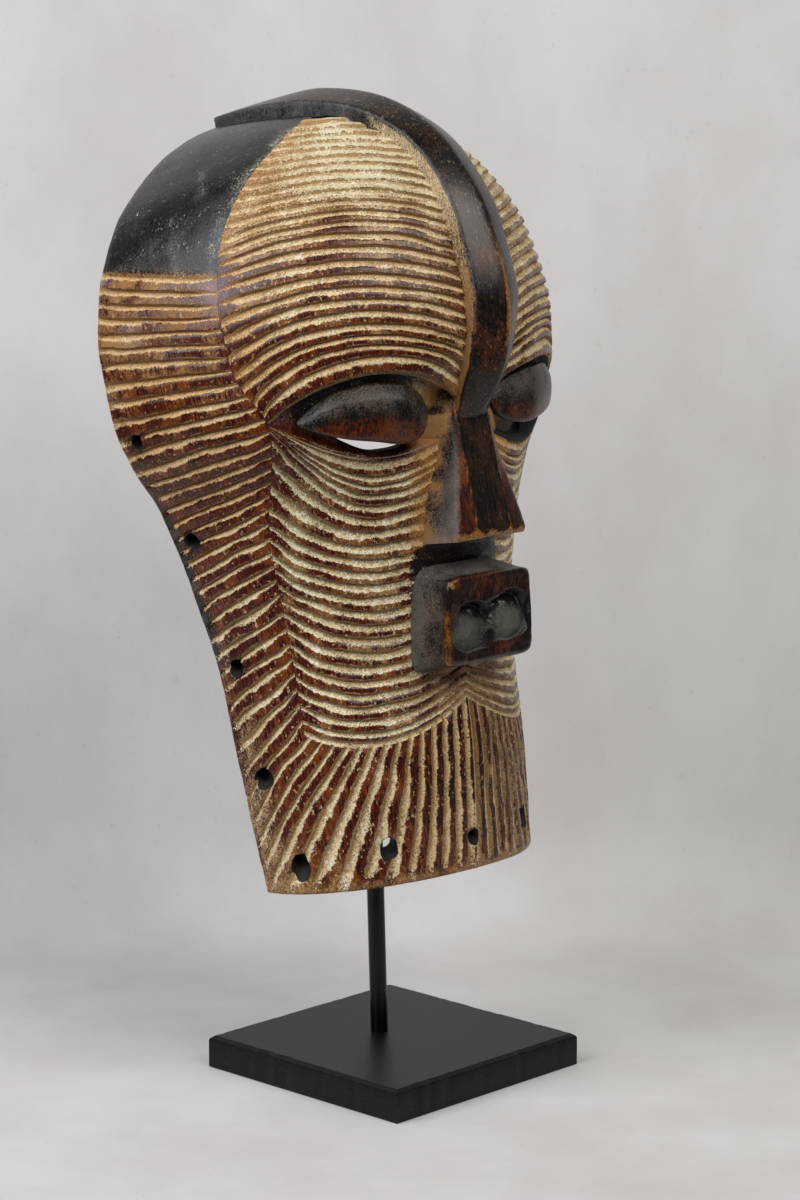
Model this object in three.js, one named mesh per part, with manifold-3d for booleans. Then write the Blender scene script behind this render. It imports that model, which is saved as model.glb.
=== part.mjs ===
// Carved wooden face mask standing on a steel rod and a square base board.
// Millimetres, +Z up. The origin is the centre of the board's underside and
// the face looks along -Y.
import * as THREE from 'three';
import { mergeVertices } from 'three/addons/utils/BufferGeometryUtils.js';
import Module from 'manifold-3d';

// Stand
const BOARD = { side: 120, thickness: 15, chamfer: 2.2 };
const ROD = { diameter: 8, socketDepth: 8, y: 8.6, leanBack: 2, top: 421.3, sides: 20 };
const FIT_GAP = 0.3;

// Behind the chin the rod bends back, after the mask's lean, and so stays clear of the eye slits
const BEND = { start: 118, radius: 60, angle: 8, rings: 4 };

// How the mask hangs: its rim plane leans back, and its chin is this far above the floor
const MASK = { leanBack: 15.4, y: 3.4, z: 94, length: 346.8, wall: 9 };

// Half widths and depths of the half-oval cross sections, from the chin to the crown
const SECTIONS = {
  place: [0, 0.14, 0.28, 0.4, 0.5, 0.57, 0.63, 0.7, 0.78, 0.87, 0.94, 1],
  halfWidth: [76.6, 78.5, 79.7, 86.4, 95.6, 108.2, 113.7, 113.9, 108, 91, 64.1, 0],
  depth: [56.6, 66.9, 74.1, 85.6, 100.9, 115.2, 123.7, 128.7, 127.1, 115.4, 89.3, 0],
};
const CHIN_EDGE = { middle: -6.3, corner: 2, power: 2.2 };

// The grooves are V cuts of this depth, counted as the carver would cut them
const GROOVE_DEPTH = 1.5;
const CORNER = 33;
const CHIN_MIDDLE = 47;
const EYE_FLOOR = 22;
const BROW = 23;
const TOP_LINE = 48;

// The seam between the side of the face and its front, in degrees from the middle
const SEAM = { angle: 60, notch: 6.8, notchHeight: 198, above: 20, below: 28 };
const CROWN_EDGE = { foot: 266, start: 262, top: 339, power: 2.5 };
const CROWN_ROWS = 8;

// Heights where the side grooves meet the seam and the rim, by groove number
const SIDE_SEAM = { groove: [0, 11, 19, 33], height: [266, 203.3, 160, 66.7] };
const SIDE_RIM = {
  groove: [0, 4, 11, 19, 28, 33, 36],
  height: [282.6, 257, 200.9, 150, 86, 34, 2],
};
const CHIN_FAN = { groove: [36, 42, 47], angle: [90, 29.5, 0], bow: 3.3 };

// Guide lines of the front grooves: each one leaves the seam at "end", turns at
// "turn" degrees from the middle at the height "level", and meets the middle at "centre"
const FRONT_GUIDES = [
  { groove: 0, end: 66.7, turn: 33, level: 56.5, power: 2, centre: 70.5 },
  { groove: 5, end: 99.5, turn: 31, level: 84.5, power: 2, centre: 91 },
  { groove: 10, end: 133.5, turn: 27, level: 113.4, power: 1.9, centre: 113 },
  { groove: 15, end: 165.6, turn: 26, level: 141.6, power: 2, centre: 143 },
  { groove: 19, end: 197.8, turn: 27, level: 163.4, power: 2.5, centre: 180 },
  { groove: 22, end: 200.2, turn: 26, level: 176.8, power: 3, centre: 186 },
  { groove: 23, end: 201.2, turn: 31, level: 213, power: 2, centre: 188 },
  { groove: 27, end: 223.4, turn: 39, level: 235.3, power: 2, centre: 215.6 },
  { groove: 31, end: 255, turn: 46, level: 258, power: 2, centre: 237.6 },
  { groove: 35, end: 276.4, turn: 44, level: 280.8, power: 2, centre: 261 },
  { groove: 39, end: 300.3, turn: 42, level: 300.2, power: 2, centre: 284 },
  { groove: 43, end: 316.9, turn: 45, level: 316.8, power: 2, centre: 303 },
  { groove: 48, end: 334, turn: 20, level: 334.2, power: 2, centre: 329 },
];

// The eye socket's floor, with a level ledge along its lower edge
const SOCKET = { depth: 6, fullGap: 14, rows: [0.09, 0.17, 0.92], sunk: [0.08, 1, 1] };

// Outline of an upper eyelid: its lower and upper edge by the angle from the middle
const LID = {
  angle: [14.2, 15.2, 17, 20, 24, 30, 36, 42, 47.3],
  low: [192, 189, 185, 183.6, 184.3, 187, 189.7, 193.5, 197.8],
  high: [192.6, 195.6, 199.8, 203.7, 206.9, 208.8, 208.2, 204.8, 198.3],
  bulge: 5, sunkEdge: 3.5,
};

// The left eye is cut a little higher, flatter and longer towards the nose
const LEFT_EYE = { rise: 1.6, reach: 4.5, reachFrom: 30, flatter: 0.72 };

// The opening below the lid, with the height of its lower edge by angle
const SLIT = {
  angle: [17.5, 20, 23, 27, 32, 37, 41.5],
  low: [182.6, 180.6, 179.6, 180.2, 182.8, 186.3, 191],
};

// The skin sinks towards the bridge of the nose, between the two brows
const BRIDGE = {
  height: [172, 186, 196, 206, 216, 224],
  sink: [0, 4.6, 5.6, 4.6, 1.8, 0],
  full: 9, gone: 24,
};

// The low roof of the crest: half width, and lift above the bare skin at its edges and its ridge
const CREST = {
  height: [188, 194, 201, 209, 217, 226, 242, 300, 340, 346.8],
  halfWidth: [11.4, 11.6, 11.9, 12.6, 13.3, 13.7, 14.4, 13.6, 15, 17.5],
  edge: [-4, -3.4, -2.2, 0.3, 2.2, 3.8, 5.6, 5, 4.2, 3.2],
  ridge: [0.4, 3.4, 6.4, 8.8, 10.6, 11.7, 12, 9.6, 10, 6.5],
  root: 8,
};

// The wedge of the nose: half width of its front, and of the middle facet, by height
const NOSE = {
  height: [136.8, 141, 154, 167, 180, 191],
  halfWidth: [21.8, 21.4, 18.6, 15.2, 12.7, 11.4],
  middle: [11, 10.8, 10.5, 10.3, 10.2, 10.4],
  front: -104.6, facetLift: 1.4, topFade: 6, undercut: 3,
};
const NOSE_BACK = { halfTop: 26, halfBottom: 22, root: 5 };
const MOUTH = {
  halfTop: 26.6, halfBottom: 28, bottom: 84, top: 122, frontTop: -99, frontBottom: -89.2,
  corner: 2.2, topRise: 6, root: 6,
};
const LIP = { x: 12.7, height: 100.5, halfWidth: 13.6, halfHeight: 10.5, sink: 6 };
const HOLES = [
  { height: 206, angle: 85, diameter: 6 },
  { height: 160, angle: 83, diameter: 6.5 },
  { height: 102, angle: 81.5, diameter: 7 },
  { height: 52, angle: 79, diameter: 8.5 },
  { height: 11, angle: 70, diameter: 8.5 },
  { height: 11, angle: 35, diameter: 8 },
  { height: 8, angle: 0, diameter: 7 },
];

const degrees = THREE.MathUtils.degToRad;
const clamp = THREE.MathUtils.clamp;

// A smooth curve through the given places that never overshoots between them
function smoothCurve(places, values) {
  const last = places.length - 1;
  const slopes = [];
  for (let i = 0; i < last; i++) slopes.push((values[i + 1] - values[i]) / (places[i + 1] - places[i]));
  const tangents = places.map((_, i) => {
    if (i === 0) return slopes[0];
    if (i === last) return slopes[last - 1];
    const product = slopes[i - 1] * slopes[i];
    return product > 0 ? (2 * product) / (slopes[i - 1] + slopes[i]) : 0;
  });
  return (place) => {
    if (place <= places[0]) return values[0] + tangents[0] * (place - places[0]);
    let i = 0;
    while (i < last - 1 && place > places[i + 1]) i++;
    const width = places[i + 1] - places[i];
    const t = Math.min((place - places[i]) / width, 1);
    const blend = t * t * (3 - 2 * t);
    const bend = t * (1 - t) * (tangents[i] * (1 - t) - tangents[i + 1] * t) * width;
    return values[i] + (values[i + 1] - values[i]) * blend + bend;
  };
}

const squared = (values) => values.map((value) => value * value);
const widthSquared = smoothCurve(SECTIONS.place, squared(SECTIONS.halfWidth));
const depthSquared = smoothCurve(SECTIONS.place, squared(SECTIONS.depth));

function halfWidthAt(height) {
  return Math.sqrt(Math.max(widthSquared(height / MASK.length), 0));
}

function depthAt(height) {
  return Math.sqrt(Math.max(depthSquared(height / MASK.length), 0));
}

function bareSkin(height, angle) {
  const turn = degrees(angle);
  return new THREE.Vector3(halfWidthAt(height) * Math.sin(turn), -depthAt(height) * Math.cos(turn), height);
}

const sinkAt = smoothCurve(BRIDGE.height, BRIDGE.sink);

function bridgeSink(height, angle) {
  const last = BRIDGE.height.length - 1;
  if (height < BRIDGE.height[0] || height > BRIDGE.height[last]) return 0;
  const fade = clamp((BRIDGE.gone - Math.abs(angle)) / (BRIDGE.gone - BRIDGE.full), 0, 1);
  return sinkAt(height) * fade * fade * (3 - 2 * fade);
}

// A point of the mask's surface, raised by lift along the surface's normal
function skin(height, angle, lift = 0) {
  const point = bareSkin(height, angle);
  if (height > MASK.length - 0.02) return new THREE.Vector3(0, 0, MASK.length + lift);
  const turn = degrees(angle);
  const across = new THREE.Vector3(
    halfWidthAt(height) * Math.cos(turn), depthAt(height) * Math.sin(turn), 0);
  const up = bareSkin(height + 0.01, angle).sub(bareSkin(height - 0.01, angle));
  return point.addScaledVector(across.cross(up).normalize(), lift - bridgeSink(height, angle));
}

function chinEdge(angle) {
  const outward = (Math.abs(angle) / 90) ** CHIN_EDGE.power;
  return CHIN_EDGE.middle + (CHIN_EDGE.corner - CHIN_EDGE.middle) * outward;
}

// Angle of the line between the side and the front: the crown patch's edge, then the seam
function borderAngle(height) {
  const notchWidth = height > SEAM.notchHeight ? SEAM.above : SEAM.below;
  const notch = SEAM.notch * Math.exp(-(((height - SEAM.notchHeight) / notchWidth) ** 2));
  const seam = SEAM.angle - notch;
  const rise = clamp((height - CROWN_EDGE.start) / (CROWN_EDGE.top - CROWN_EDGE.start), 0, 1);
  const arch = SEAM.angle * (1 - rise ** CROWN_EDGE.power) ** (1 / CROWN_EDGE.power);
  return Math.min(seam, arch);
}

const guideGrooves = FRONT_GUIDES.map((guide) => guide.groove);
const guideEnds = smoothCurve(guideGrooves, FRONT_GUIDES.map((guide) => guide.end));

function guideHeight(guide, t) {
  const endAngle = borderAngle(guide.end);
  const angle = endAngle * (1 - t);
  if (angle > guide.turn) {
    const reach = (angle - guide.turn) / (endAngle - guide.turn);
    return guide.level + (guide.end - guide.level) * reach ** guide.power;
  }
  const reach = (guide.turn - angle) / guide.turn;
  return guide.level + (guide.centre - guide.level) * reach ** 2;
}

// A place on a front groove, t running from the border (0) to the middle of the face (1)
function frontPlace(groove, t) {
  const heights = FRONT_GUIDES.map((guide) => guideHeight(guide, t));
  const height = smoothCurve(guideGrooves, heights)(groove);
  return { height, angle: borderAngle(guideEnds(groove)) * (1 - t) };
}

// Where a groove of the outer band starts, on the border of the front
function bandStart(groove) {
  if (groove < 0) {
    const climb = -groove / CROWN_ROWS;
    const topEnd = guideEnds(TOP_LINE);
    if (climb > 0.75) return frontPlace(TOP_LINE, (climb - 0.75) / 0.25);
    const height = CROWN_EDGE.foot + (topEnd - CROWN_EDGE.foot) * Math.sin(degrees(90 * climb / 0.75));
    return { height, angle: borderAngle(height) };
  }
  if (groove <= CORNER) {
    const height = smoothCurve(SIDE_SEAM.groove, SIDE_SEAM.height)(groove);
    return { height, angle: borderAngle(height) };
  }
  return frontPlace(0, (groove - CORNER) / (CHIN_MIDDLE - CORNER));
}

// Where a groove of the outer band ends, on the rim or on the chin's lower edge
function bandEnd(groove) {
  if (groove < 0) {
    const climb = -groove / CROWN_ROWS;
    const height = SIDE_RIM.height[0] + (MASK.length - SIDE_RIM.height[0]) * climb;
    return { height, angle: climb === 1 ? 0 : 90 };
  }
  const corner = CHIN_FAN.groove[0];
  if (groove <= corner) return { height: smoothCurve(SIDE_RIM.groove, SIDE_RIM.height)(groove), angle: 90 };
  const angle = smoothCurve(CHIN_FAN.groove, CHIN_FAN.angle)(groove);
  return { height: chinEdge(angle), angle };
}

function bandPlace(groove, t) {
  const start = bandStart(groove);
  const end = bandEnd(groove);
  const fan = clamp((groove - CORNER) / 4, 0, 1) * clamp((CHIN_MIDDLE - groove) / 6, 0, 1);
  const bow = CHIN_FAN.bow * fan * Math.sin(Math.PI * t);
  return {
    height: start.height + (end.height - start.height) * t,
    angle: start.angle + (end.angle - start.angle) * t - bow,
  };
}

// Whole numbers are the bottoms of the grooves, halves the ridges between them
function grooveLift(groove) {
  return Number.isInteger(groove) ? -GROOVE_DEPTH : 0;
}

const triangleNormal = new THREE.Triangle();

// Joins two rows of points, each with its own count, by the shorter diagonals
function stitch(first, second) {
  const triangles = [];
  let i = 0;
  let j = 0;
  while (i < first.length - 1 || j < second.length - 1) {
    const canFirst = i < first.length - 1;
    const canSecond = j < second.length - 1;
    const spanFirst = canFirst ? first[i + 1].distanceToSquared(second[j]) : Infinity;
    const spanSecond = canSecond ? second[j + 1].distanceToSquared(first[i]) : Infinity;
    if (spanFirst <= spanSecond) {
      triangles.push([first[i], second[j], first[i + 1]]);
      i++;
    } else {
      triangles.push([first[i], second[j], second[j + 1]]);
      j++;
    }
  }
  return triangles;
}

// One patch from rows of points, facing the way that outward gives on the whole
function patch(rows, outward) {
  const triangles = [];
  for (let i = 0; i < rows.length - 1; i++) triangles.push(...stitch(rows[i], rows[i + 1]));
  let agreement = 0;
  const normal = new THREE.Vector3();
  for (const [a, b, c] of triangles) {
    triangleNormal.set(a, b, c).getNormal(normal);
    agreement += normal.dot(outward(a)) * triangleNormal.getArea();
  }
  return agreement < 0 ? triangles.map(([a, b, c]) => [a, c, b]) : triangles;
}

function shellGeometry(triangles) {
  const solidOnes = triangles.filter(([a, b, c]) => new THREE.Triangle(a, b, c).getArea() > 1e-7);
  const positions = solidOnes.flat().flatMap((point) => [point.x, point.y, point.z]);
  const geometry = new THREE.BufferGeometry();
  geometry.setAttribute('position', new THREE.Float32BufferAttribute(positions, 3));
  return mergeVertices(geometry, 1e-4);
}

const wasm = await Module();
wasm.setup();

function toSolid(geometry) {
  const bare = geometry.clone();
  bare.deleteAttribute('normal');
  bare.deleteAttribute('uv');
  const merged = mergeVertices(bare, 1e-4);
  return new wasm.Manifold(new wasm.Mesh({
    numProp: 3,
    vertProperties: new Float32Array(merged.attributes.position.array),
    triVerts: new Uint32Array(merged.index.array),
  }));
}

function toGeometry(solid) {
  const mesh = solid.getMesh();
  const geometry = new THREE.BufferGeometry();
  geometry.setAttribute('position', new THREE.BufferAttribute(mesh.vertProperties, 3));
  geometry.setIndex(new THREE.BufferAttribute(mesh.triVerts, 1));
  geometry.computeVertexNormals();
  return geometry;
}

function signedVolume(triangles) {
  return triangles.reduce((sum, [a, b, c]) => sum + a.dot(b.clone().cross(c)) / 6, 0);
}

// A closed slab between a front and a back surface, both given over u and w from 0 to 1
function slab(uSteps, wSteps, front, back) {
  const grid = (surface) => wSteps.map((w) => uSteps.map((u) => surface(u, w)));
  const frontRows = grid(front);
  const backRows = grid(back);
  const lastU = uSteps.length - 1;
  const lastW = wSteps.length - 1;
  const column = (rows, i) => rows.map((row) => row[i]);
  const triangles = [];
  for (let i = 0; i < lastW; i++) {
    triangles.push(...stitch(frontRows[i], frontRows[i + 1]));
    triangles.push(...stitch(backRows[i + 1], backRows[i]));
  }
  triangles.push(...stitch(backRows[0], frontRows[0]));
  triangles.push(...stitch(frontRows[lastW], backRows[lastW]));
  triangles.push(...stitch(column(frontRows, 0), column(backRows, 0)));
  triangles.push(...stitch(column(backRows, lastU), column(frontRows, lastU)));
  const inverted = signedVolume(triangles) < 0;
  return shellGeometry(inverted ? triangles.map(([a, b, c]) => [a, c, b]) : triangles);
}

function steps(count) {
  return Array.from({ length: count + 1 }, (_, i) => i / count);
}

function mirrored(point) {
  return new THREE.Vector3(-point.x, point.y, point.z);
}

// Depth of the eye socket under the brow at a place on the front
function socketLift(groove, t) {
  const gap = frontPlace(BROW, t).height - frontPlace(EYE_FLOOR, t).height;
  return -SOCKET.depth * clamp((gap - 2) / SOCKET.fullGap, 0, 1);
}

function frontRows() {
  const columns = [0, 0.09, 0.2, 0.32, 0.44, 0.56, 0.68, 0.82, 1];
  const row = (groove, lift) => columns.map((t) => {
    const place = frontPlace(groove, t);
    return skin(place.height, -place.angle, lift(groove, t));
  });
  const rows = [];
  for (let groove = 0; groove <= TOP_LINE; groove += 0.5) {
    if (groove > EYE_FLOOR && groove < BROW) {
      SOCKET.rows.forEach((within, i) => {
        rows.push(row(EYE_FLOOR + within, (line, t) => SOCKET.sunk[i] * socketLift(line, t)));
      });
    } else {
      const edge = groove === EYE_FLOOR || groove === BROW;
      rows.push(row(groove, () => (edge ? 0 : grooveLift(groove))));
    }
  }
  return rows;
}

function bandRows() {
  const columns = [0.02, 0.26, 0.5, 0.75, 1];
  const grooves = [];
  for (let groove = -CROWN_ROWS; groove < 0; groove++) grooves.push(groove);
  for (let groove = 0; groove <= CHIN_MIDDLE; groove += 0.5) grooves.push(groove);
  return grooves.map((groove) => columns.map((t) => {
    const place = bandPlace(groove, t);
    return skin(place.height, -place.angle, groove < 0 ? 0 : grooveLift(groove));
  }));
}

// The carved shell: grooved outside, plain hollow inside, open behind and below
function maskShell() {
  const outward = (point) => new THREE.Vector3(point.x, point.y, (point.z - 170) * 0.4);
  const inward = (point) => outward(point).negate();
  const front = frontRows();
  const band = bandRows();
  const frontBorder = [
    ...front[front.length - 1].slice().reverse(),
    ...front.slice(1, -1).reverse().map((row) => row[0]),
    ...front[0],
  ];
  const bandStarts = band.map((row) => row[0]);
  const cornerRow = CROWN_ROWS + 2 * CHIN_FAN.groove[0];
  const edge = band.map((row) => row[row.length - 1]);
  const rim = edge.slice(0, cornerRow + 1);
  const chin = edge.slice(cornerRow);

  const heights = steps(14).map((t) => MASK.length - (MASK.length - CHIN_EDGE.corner) * t ** 1.5);
  const angles = steps(8).map((t) => 90 * (1 - t));
  const inside = heights.map((height, i) => angles.map((angle) => {
    const drop = (chinEdge(angle) - CHIN_EDGE.corner) * (i / (heights.length - 1)) ** 2;
    return skin(height + drop, -angle, -MASK.wall);
  }));
  const insideRim = inside.map((row) => row[0]);
  const insideChin = inside[inside.length - 1];

  const half = [
    ...patch(front, outward),
    ...patch(band, outward),
    ...patch([frontBorder, bandStarts], outward),
    ...patch(inside, inward),
    ...patch([rim, insideRim], () => new THREE.Vector3(0, 1, 0)),
    ...patch([chin, insideChin], () => new THREE.Vector3(0, 0, -1)),
  ];
  const other = half.map(([a, b, c]) => [mirrored(a), mirrored(c), mirrored(b)]);
  return shellGeometry([...half, ...other]);
}

const lidLow = smoothCurve(LID.angle, LID.low);
const lidHigh = smoothCurve(LID.angle, LID.high);
const slitLow = smoothCurve(SLIT.angle, SLIT.low);

// The angle of a place on either eye, with the left one stretched towards the nose
function eyeAngle(angle, side) {
  const reach = clamp((LEFT_EYE.reachFrom - angle) / (LEFT_EYE.reachFrom - LID.angle[0]), 0, 1);
  return side < 0 ? angle - LEFT_EYE.reach * reach : angle;
}

// A heavy upper lid: an almond that swells towards its overhanging lower edge
function eyelid(side) {
  const inner = LID.angle[0];
  const outer = LID.angle[LID.angle.length - 1];
  const rise = side < 0 ? LEFT_EYE.rise : 0;
  const place = (u, w, lift) => {
    const angle = outer + (inner - outer) * u;
    const height = THREE.MathUtils.lerp(lidLow(angle) + rise, lidHigh(angle) + 0.4 * rise, w);
    return skin(height, -side * eyeAngle(angle, side), lift);
  };
  const bulge = LID.bulge * (side < 0 ? LEFT_EYE.flatter : 1);
  const swell = smoothCurve([0, 0.12, 0.4, 0.75, 1], [0.9, 1.05, 1, 0.66, -0.5]);
  const front = (u, w) => {
    const along = Math.sqrt(Math.max(1 - Math.abs(2 * u - 1) ** 3, 0));
    return place(u, w, LID.sunkEdge * (along - 1) + bulge * swell(w) * along);
  };
  const uSteps = [0, 0.12, 0.26, 0.42, 0.58, 0.74, 0.86, 0.95, 1];
  return slab(uSteps, [0, 0.12, 0.4, 0.75, 1], front, (u, w) => place(u, w, 1 - MASK.wall));
}

function eyeSlit(side) {
  const inner = SLIT.angle[0];
  const outer = SLIT.angle[SLIT.angle.length - 1];
  const rise = side < 0 ? LEFT_EYE.rise : 0;
  const edge = (u, w, lift) => {
    const angle = THREE.MathUtils.lerp(outer, inner, u);
    const height = THREE.MathUtils.lerp(slitLow(angle), lidLow(angle) + rise - 0.05, w);
    return skin(height, -side * eyeAngle(angle, side), lift);
  };
  return slab(steps(6), [0, 1], (u, w) => edge(u, w, 4), (u, w) => edge(u, w, -MASK.wall - 6));
}

const crestHalf = smoothCurve(CREST.height, CREST.halfWidth);
const crestEdge = smoothCurve(CREST.height, CREST.edge);
const crestRidge = smoothCurve(CREST.height, CREST.ridge);

// A band with upright sides and a low roof, from the bridge of the nose over to the back of the crown
function crest() {
  const across = [-1, -0.5, 0, 0.5, 1];
  const start = CREST.height[0];
  const heightAt = (w) => start + (MASK.length - start) * Math.sin(degrees(90 * w));
  const place = (u, height, lift) => {
    const point = skin(height, 0, lift + bridgeSink(height, 0));
    point.x = across[Math.round(u * 4)] * crestHalf(height);
    return point;
  };
  const front = (u, w) => {
    const height = heightAt(w);
    const side = Math.abs(across[Math.round(u * 4)]);
    const roof = THREE.MathUtils.lerp(crestRidge(height), crestEdge(height), side ** 1.25);
    return place(u, height, roof);
  };
  const back = (u, w) => place(u, heightAt(w), -CREST.root);
  const wSteps = [0, 0.05, 0.1, 0.16, 0.24, 0.33, 0.43, 0.53, 0.63, 0.73, 0.82, 0.89, 0.95, 1];
  return slab(steps(4), wSteps, front, back);
}

const noseHalf = smoothCurve(NOSE.height, NOSE.halfWidth);
const noseMiddle = smoothCurve(NOSE.height, NOSE.middle);

// A long wedge of three facets that widens down to a sharp lower edge
function nose() {
  const bottom = NOSE.height[0];
  const top = NOSE.height[NOSE.height.length - 1];
  const side = [-1, -1, 0, 1, 1];
  const front = (u, w) => {
    const column = Math.round(u * 4);
    const height = THREE.MathUtils.lerp(bottom, top, w);
    const outer = column === 0 || column === 4;
    const half = outer ? noseHalf(height) : Math.min(noseMiddle(height), noseHalf(height) - 0.8);
    const fade = clamp((top - height) / NOSE.topFade, 0, 1);
    const lift = outer ? 0 : NOSE.facetLift;
    return new THREE.Vector3(side[column] * half, NOSE.front - lift * fade, height);
  };
  const back = (u, w) => {
    const height = THREE.MathUtils.lerp(bottom + NOSE.undercut, top, w);
    const x = (2 * u - 1) * THREE.MathUtils.lerp(NOSE_BACK.halfBottom, NOSE_BACK.halfTop, w);
    const surface = depthAt(height) * Math.sqrt(1 - (x / halfWidthAt(height)) ** 2);
    return new THREE.Vector3(x, -surface + NOSE_BACK.root + bridgeSink(height, 0), height);
  };
  return slab(steps(4), [0, 0.12, 0.3, 0.5, 0.7, 0.86, 1], front, back);
}

// How far the figure-of-eight mouth is sunk into the block's face: deep above each lip
function lipSink(x, height) {
  const across = (Math.abs(x) - LIP.x) / LIP.halfWidth;
  const up = (height - LIP.height) / LIP.halfHeight;
  const inside = clamp(1.8 * (1 - across * across - up * up), 0, 1);
  return LIP.sink * inside * clamp(0.5 + 0.6 * up, 0.08, 1);
}

// A square block with worn corners that carries the mouth
function mouthBlock() {
  const uSteps = [0, 0.06, 0.14, 0.24, 0.34, 0.43, 0.5, 0.57, 0.66, 0.76, 0.86, 0.94, 1];
  const wSteps = [0, 0.09, 0.2, 0.31, 0.43, 0.55, 0.66, 0.75, 0.84, 0.93, 1];
  const place = (u, w, shrink) => {
    const half = THREE.MathUtils.lerp(MOUTH.halfBottom, MOUTH.halfTop, w) - shrink;
    return [(2 * u - 1) * half, THREE.MathUtils.lerp(MOUTH.bottom + shrink, MOUTH.top - shrink, w)];
  };
  const front = (u, w) => {
    const [x, height] = place(u, w, 0.8);
    const border = Math.min(u, 1 - u, w, 1 - w) === 0;
    const worn = border ? MOUTH.corner : 0;
    const plane = THREE.MathUtils.lerp(MOUTH.frontBottom, MOUTH.frontTop, w);
    return new THREE.Vector3(x, plane + worn + lipSink(x, height), height);
  };
  const back = (u, w) => {
    const [x, height] = place(u, w, 0);
    const raised = height + (w === 1 ? MOUTH.topRise : 0);
    const surface = depthAt(raised) * Math.sqrt(1 - (x / halfWidthAt(raised)) ** 2);
    return new THREE.Vector3(x, -surface + MOUTH.root, raised);
  };
  return slab(uSteps, wSteps, front, back);
}

function rimHole(hole, side) {
  const centre = skin(hole.height, -side * hole.angle);
  const outward = skin(hole.height, -side * hole.angle, 1).sub(centre);
  const geometry = new THREE.CylinderGeometry(hole.diameter / 2, hole.diameter / 2, 4 * MASK.wall, 10);
  geometry.applyQuaternion(new THREE.Quaternion().setFromUnitVectors(new THREE.Vector3(0, 1, 0), outward));
  geometry.translate(centre.x, centre.y, centre.z);
  return geometry;
}

function buildMask() {
  let solid = toSolid(maskShell());
  const raised = [crest(), nose(), mouthBlock(), eyelid(1), eyelid(-1)];
  for (const geometry of raised) solid = solid.add(toSolid(geometry));
  const cuts = [eyeSlit(1), eyeSlit(-1)];
  for (const hole of HOLES) {
    cuts.push(rimHole(hole, 1));
    if (hole.angle > 0) cuts.push(rimHole(hole, -1));
  }
  for (const geometry of cuts) solid = solid.subtract(toSolid(geometry));
  const mesh = new THREE.Mesh(toGeometry(solid), new THREE.MeshStandardMaterial({
    color: 0x4a2a18, roughness: 0.6, metalness: 0, flatShading: true,
  }));
  mesh.name = 'mask';
  return mesh;
}

// A turned shape from a half profile of [radius, height] pairs, standing along +Z
function turned(profile, sides) {
  const points = profile.map(([radius, height]) => new THREE.Vector2(radius, height));
  return new THREE.LatheGeometry(points, sides).rotateX(Math.PI / 2);
}

function rodGeometry(diameter, length) {
  const radius = diameter / 2;
  const bendRings = [];
  for (let i = 0; i <= BEND.rings; i++) {
    const height = BEND.start + (i / BEND.rings) * BEND.radius * degrees(BEND.angle);
    if (height < length - radius) bendRings.push([radius, height]);
  }
  return turned([
    [0, 0], [radius, 0], ...bendRings, [radius, length - radius], [radius * 0.87, length - radius * 0.5],
    [radius * 0.5, length - radius * 0.13], [0, length],
  ], ROD.sides);
}

function bendBack(geometry) {
  const place = geometry.attributes.position;
  for (let i = 0; i < place.count; i++) {
    const beyond = place.getZ(i) - BEND.start;
    if (beyond <= 0) continue;
    const turn = Math.min(beyond / BEND.radius, degrees(BEND.angle));
    const straight = beyond - turn * BEND.radius;
    const across = place.getY(i);
    const back = BEND.radius * (1 - Math.cos(turn)) + straight * Math.sin(turn);
    const up = BEND.radius * Math.sin(turn) + straight * Math.cos(turn);
    place.setY(i, back + across * Math.cos(turn));
    place.setZ(i, BEND.start + up - across * Math.sin(turn));
  }
  geometry.computeVertexNormals();
  return geometry;
}

function buildRod() {
  const mesh = new THREE.Mesh(
    bendBack(rodGeometry(ROD.diameter, ROD.top)),
    new THREE.MeshStandardMaterial({ color: 0x141414, roughness: 0.4, metalness: 0.3 }),
  );
  mesh.name = 'rod';
  return mesh;
}

function buildBoard() {
  const corner = (BOARD.side / 2) * Math.SQRT2;
  const inset = BOARD.chamfer * Math.SQRT2;
  const block = turned([
    [0, 0], [corner, 0], [corner, BOARD.thickness - BOARD.chamfer],
    [corner - inset, BOARD.thickness], [0, BOARD.thickness],
  ], 4).rotateZ(Math.PI / 4);
  const socket = rodGeometry(ROD.diameter + 2 * FIT_GAP, 60);
  socket.rotateX(-degrees(ROD.leanBack));
  socket.translate(0, ROD.y, BOARD.thickness - ROD.socketDepth - FIT_GAP);
  const mesh = new THREE.Mesh(
    toGeometry(toSolid(block).subtract(toSolid(socket))),
    new THREE.MeshStandardMaterial({ color: 0x1b1b1c, roughness: 0.45, metalness: 0 }),
  );
  mesh.name = 'base_board';
  return mesh;
}

const object = new THREE.Group();

const mask = buildMask();
mask.rotation.x = -degrees(MASK.leanBack);
mask.position.set(0, MASK.y, MASK.z);
object.add(mask);

const rod = buildRod();
rod.rotation.x = -degrees(ROD.leanBack);
rod.position.set(0, ROD.y, BOARD.thickness - ROD.socketDepth);
object.add(rod);

object.add(buildBoard());

export default object;
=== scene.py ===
import math

import bmesh
import bpy
import numpy as np
from mathutils import Matrix, Vector


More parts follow.
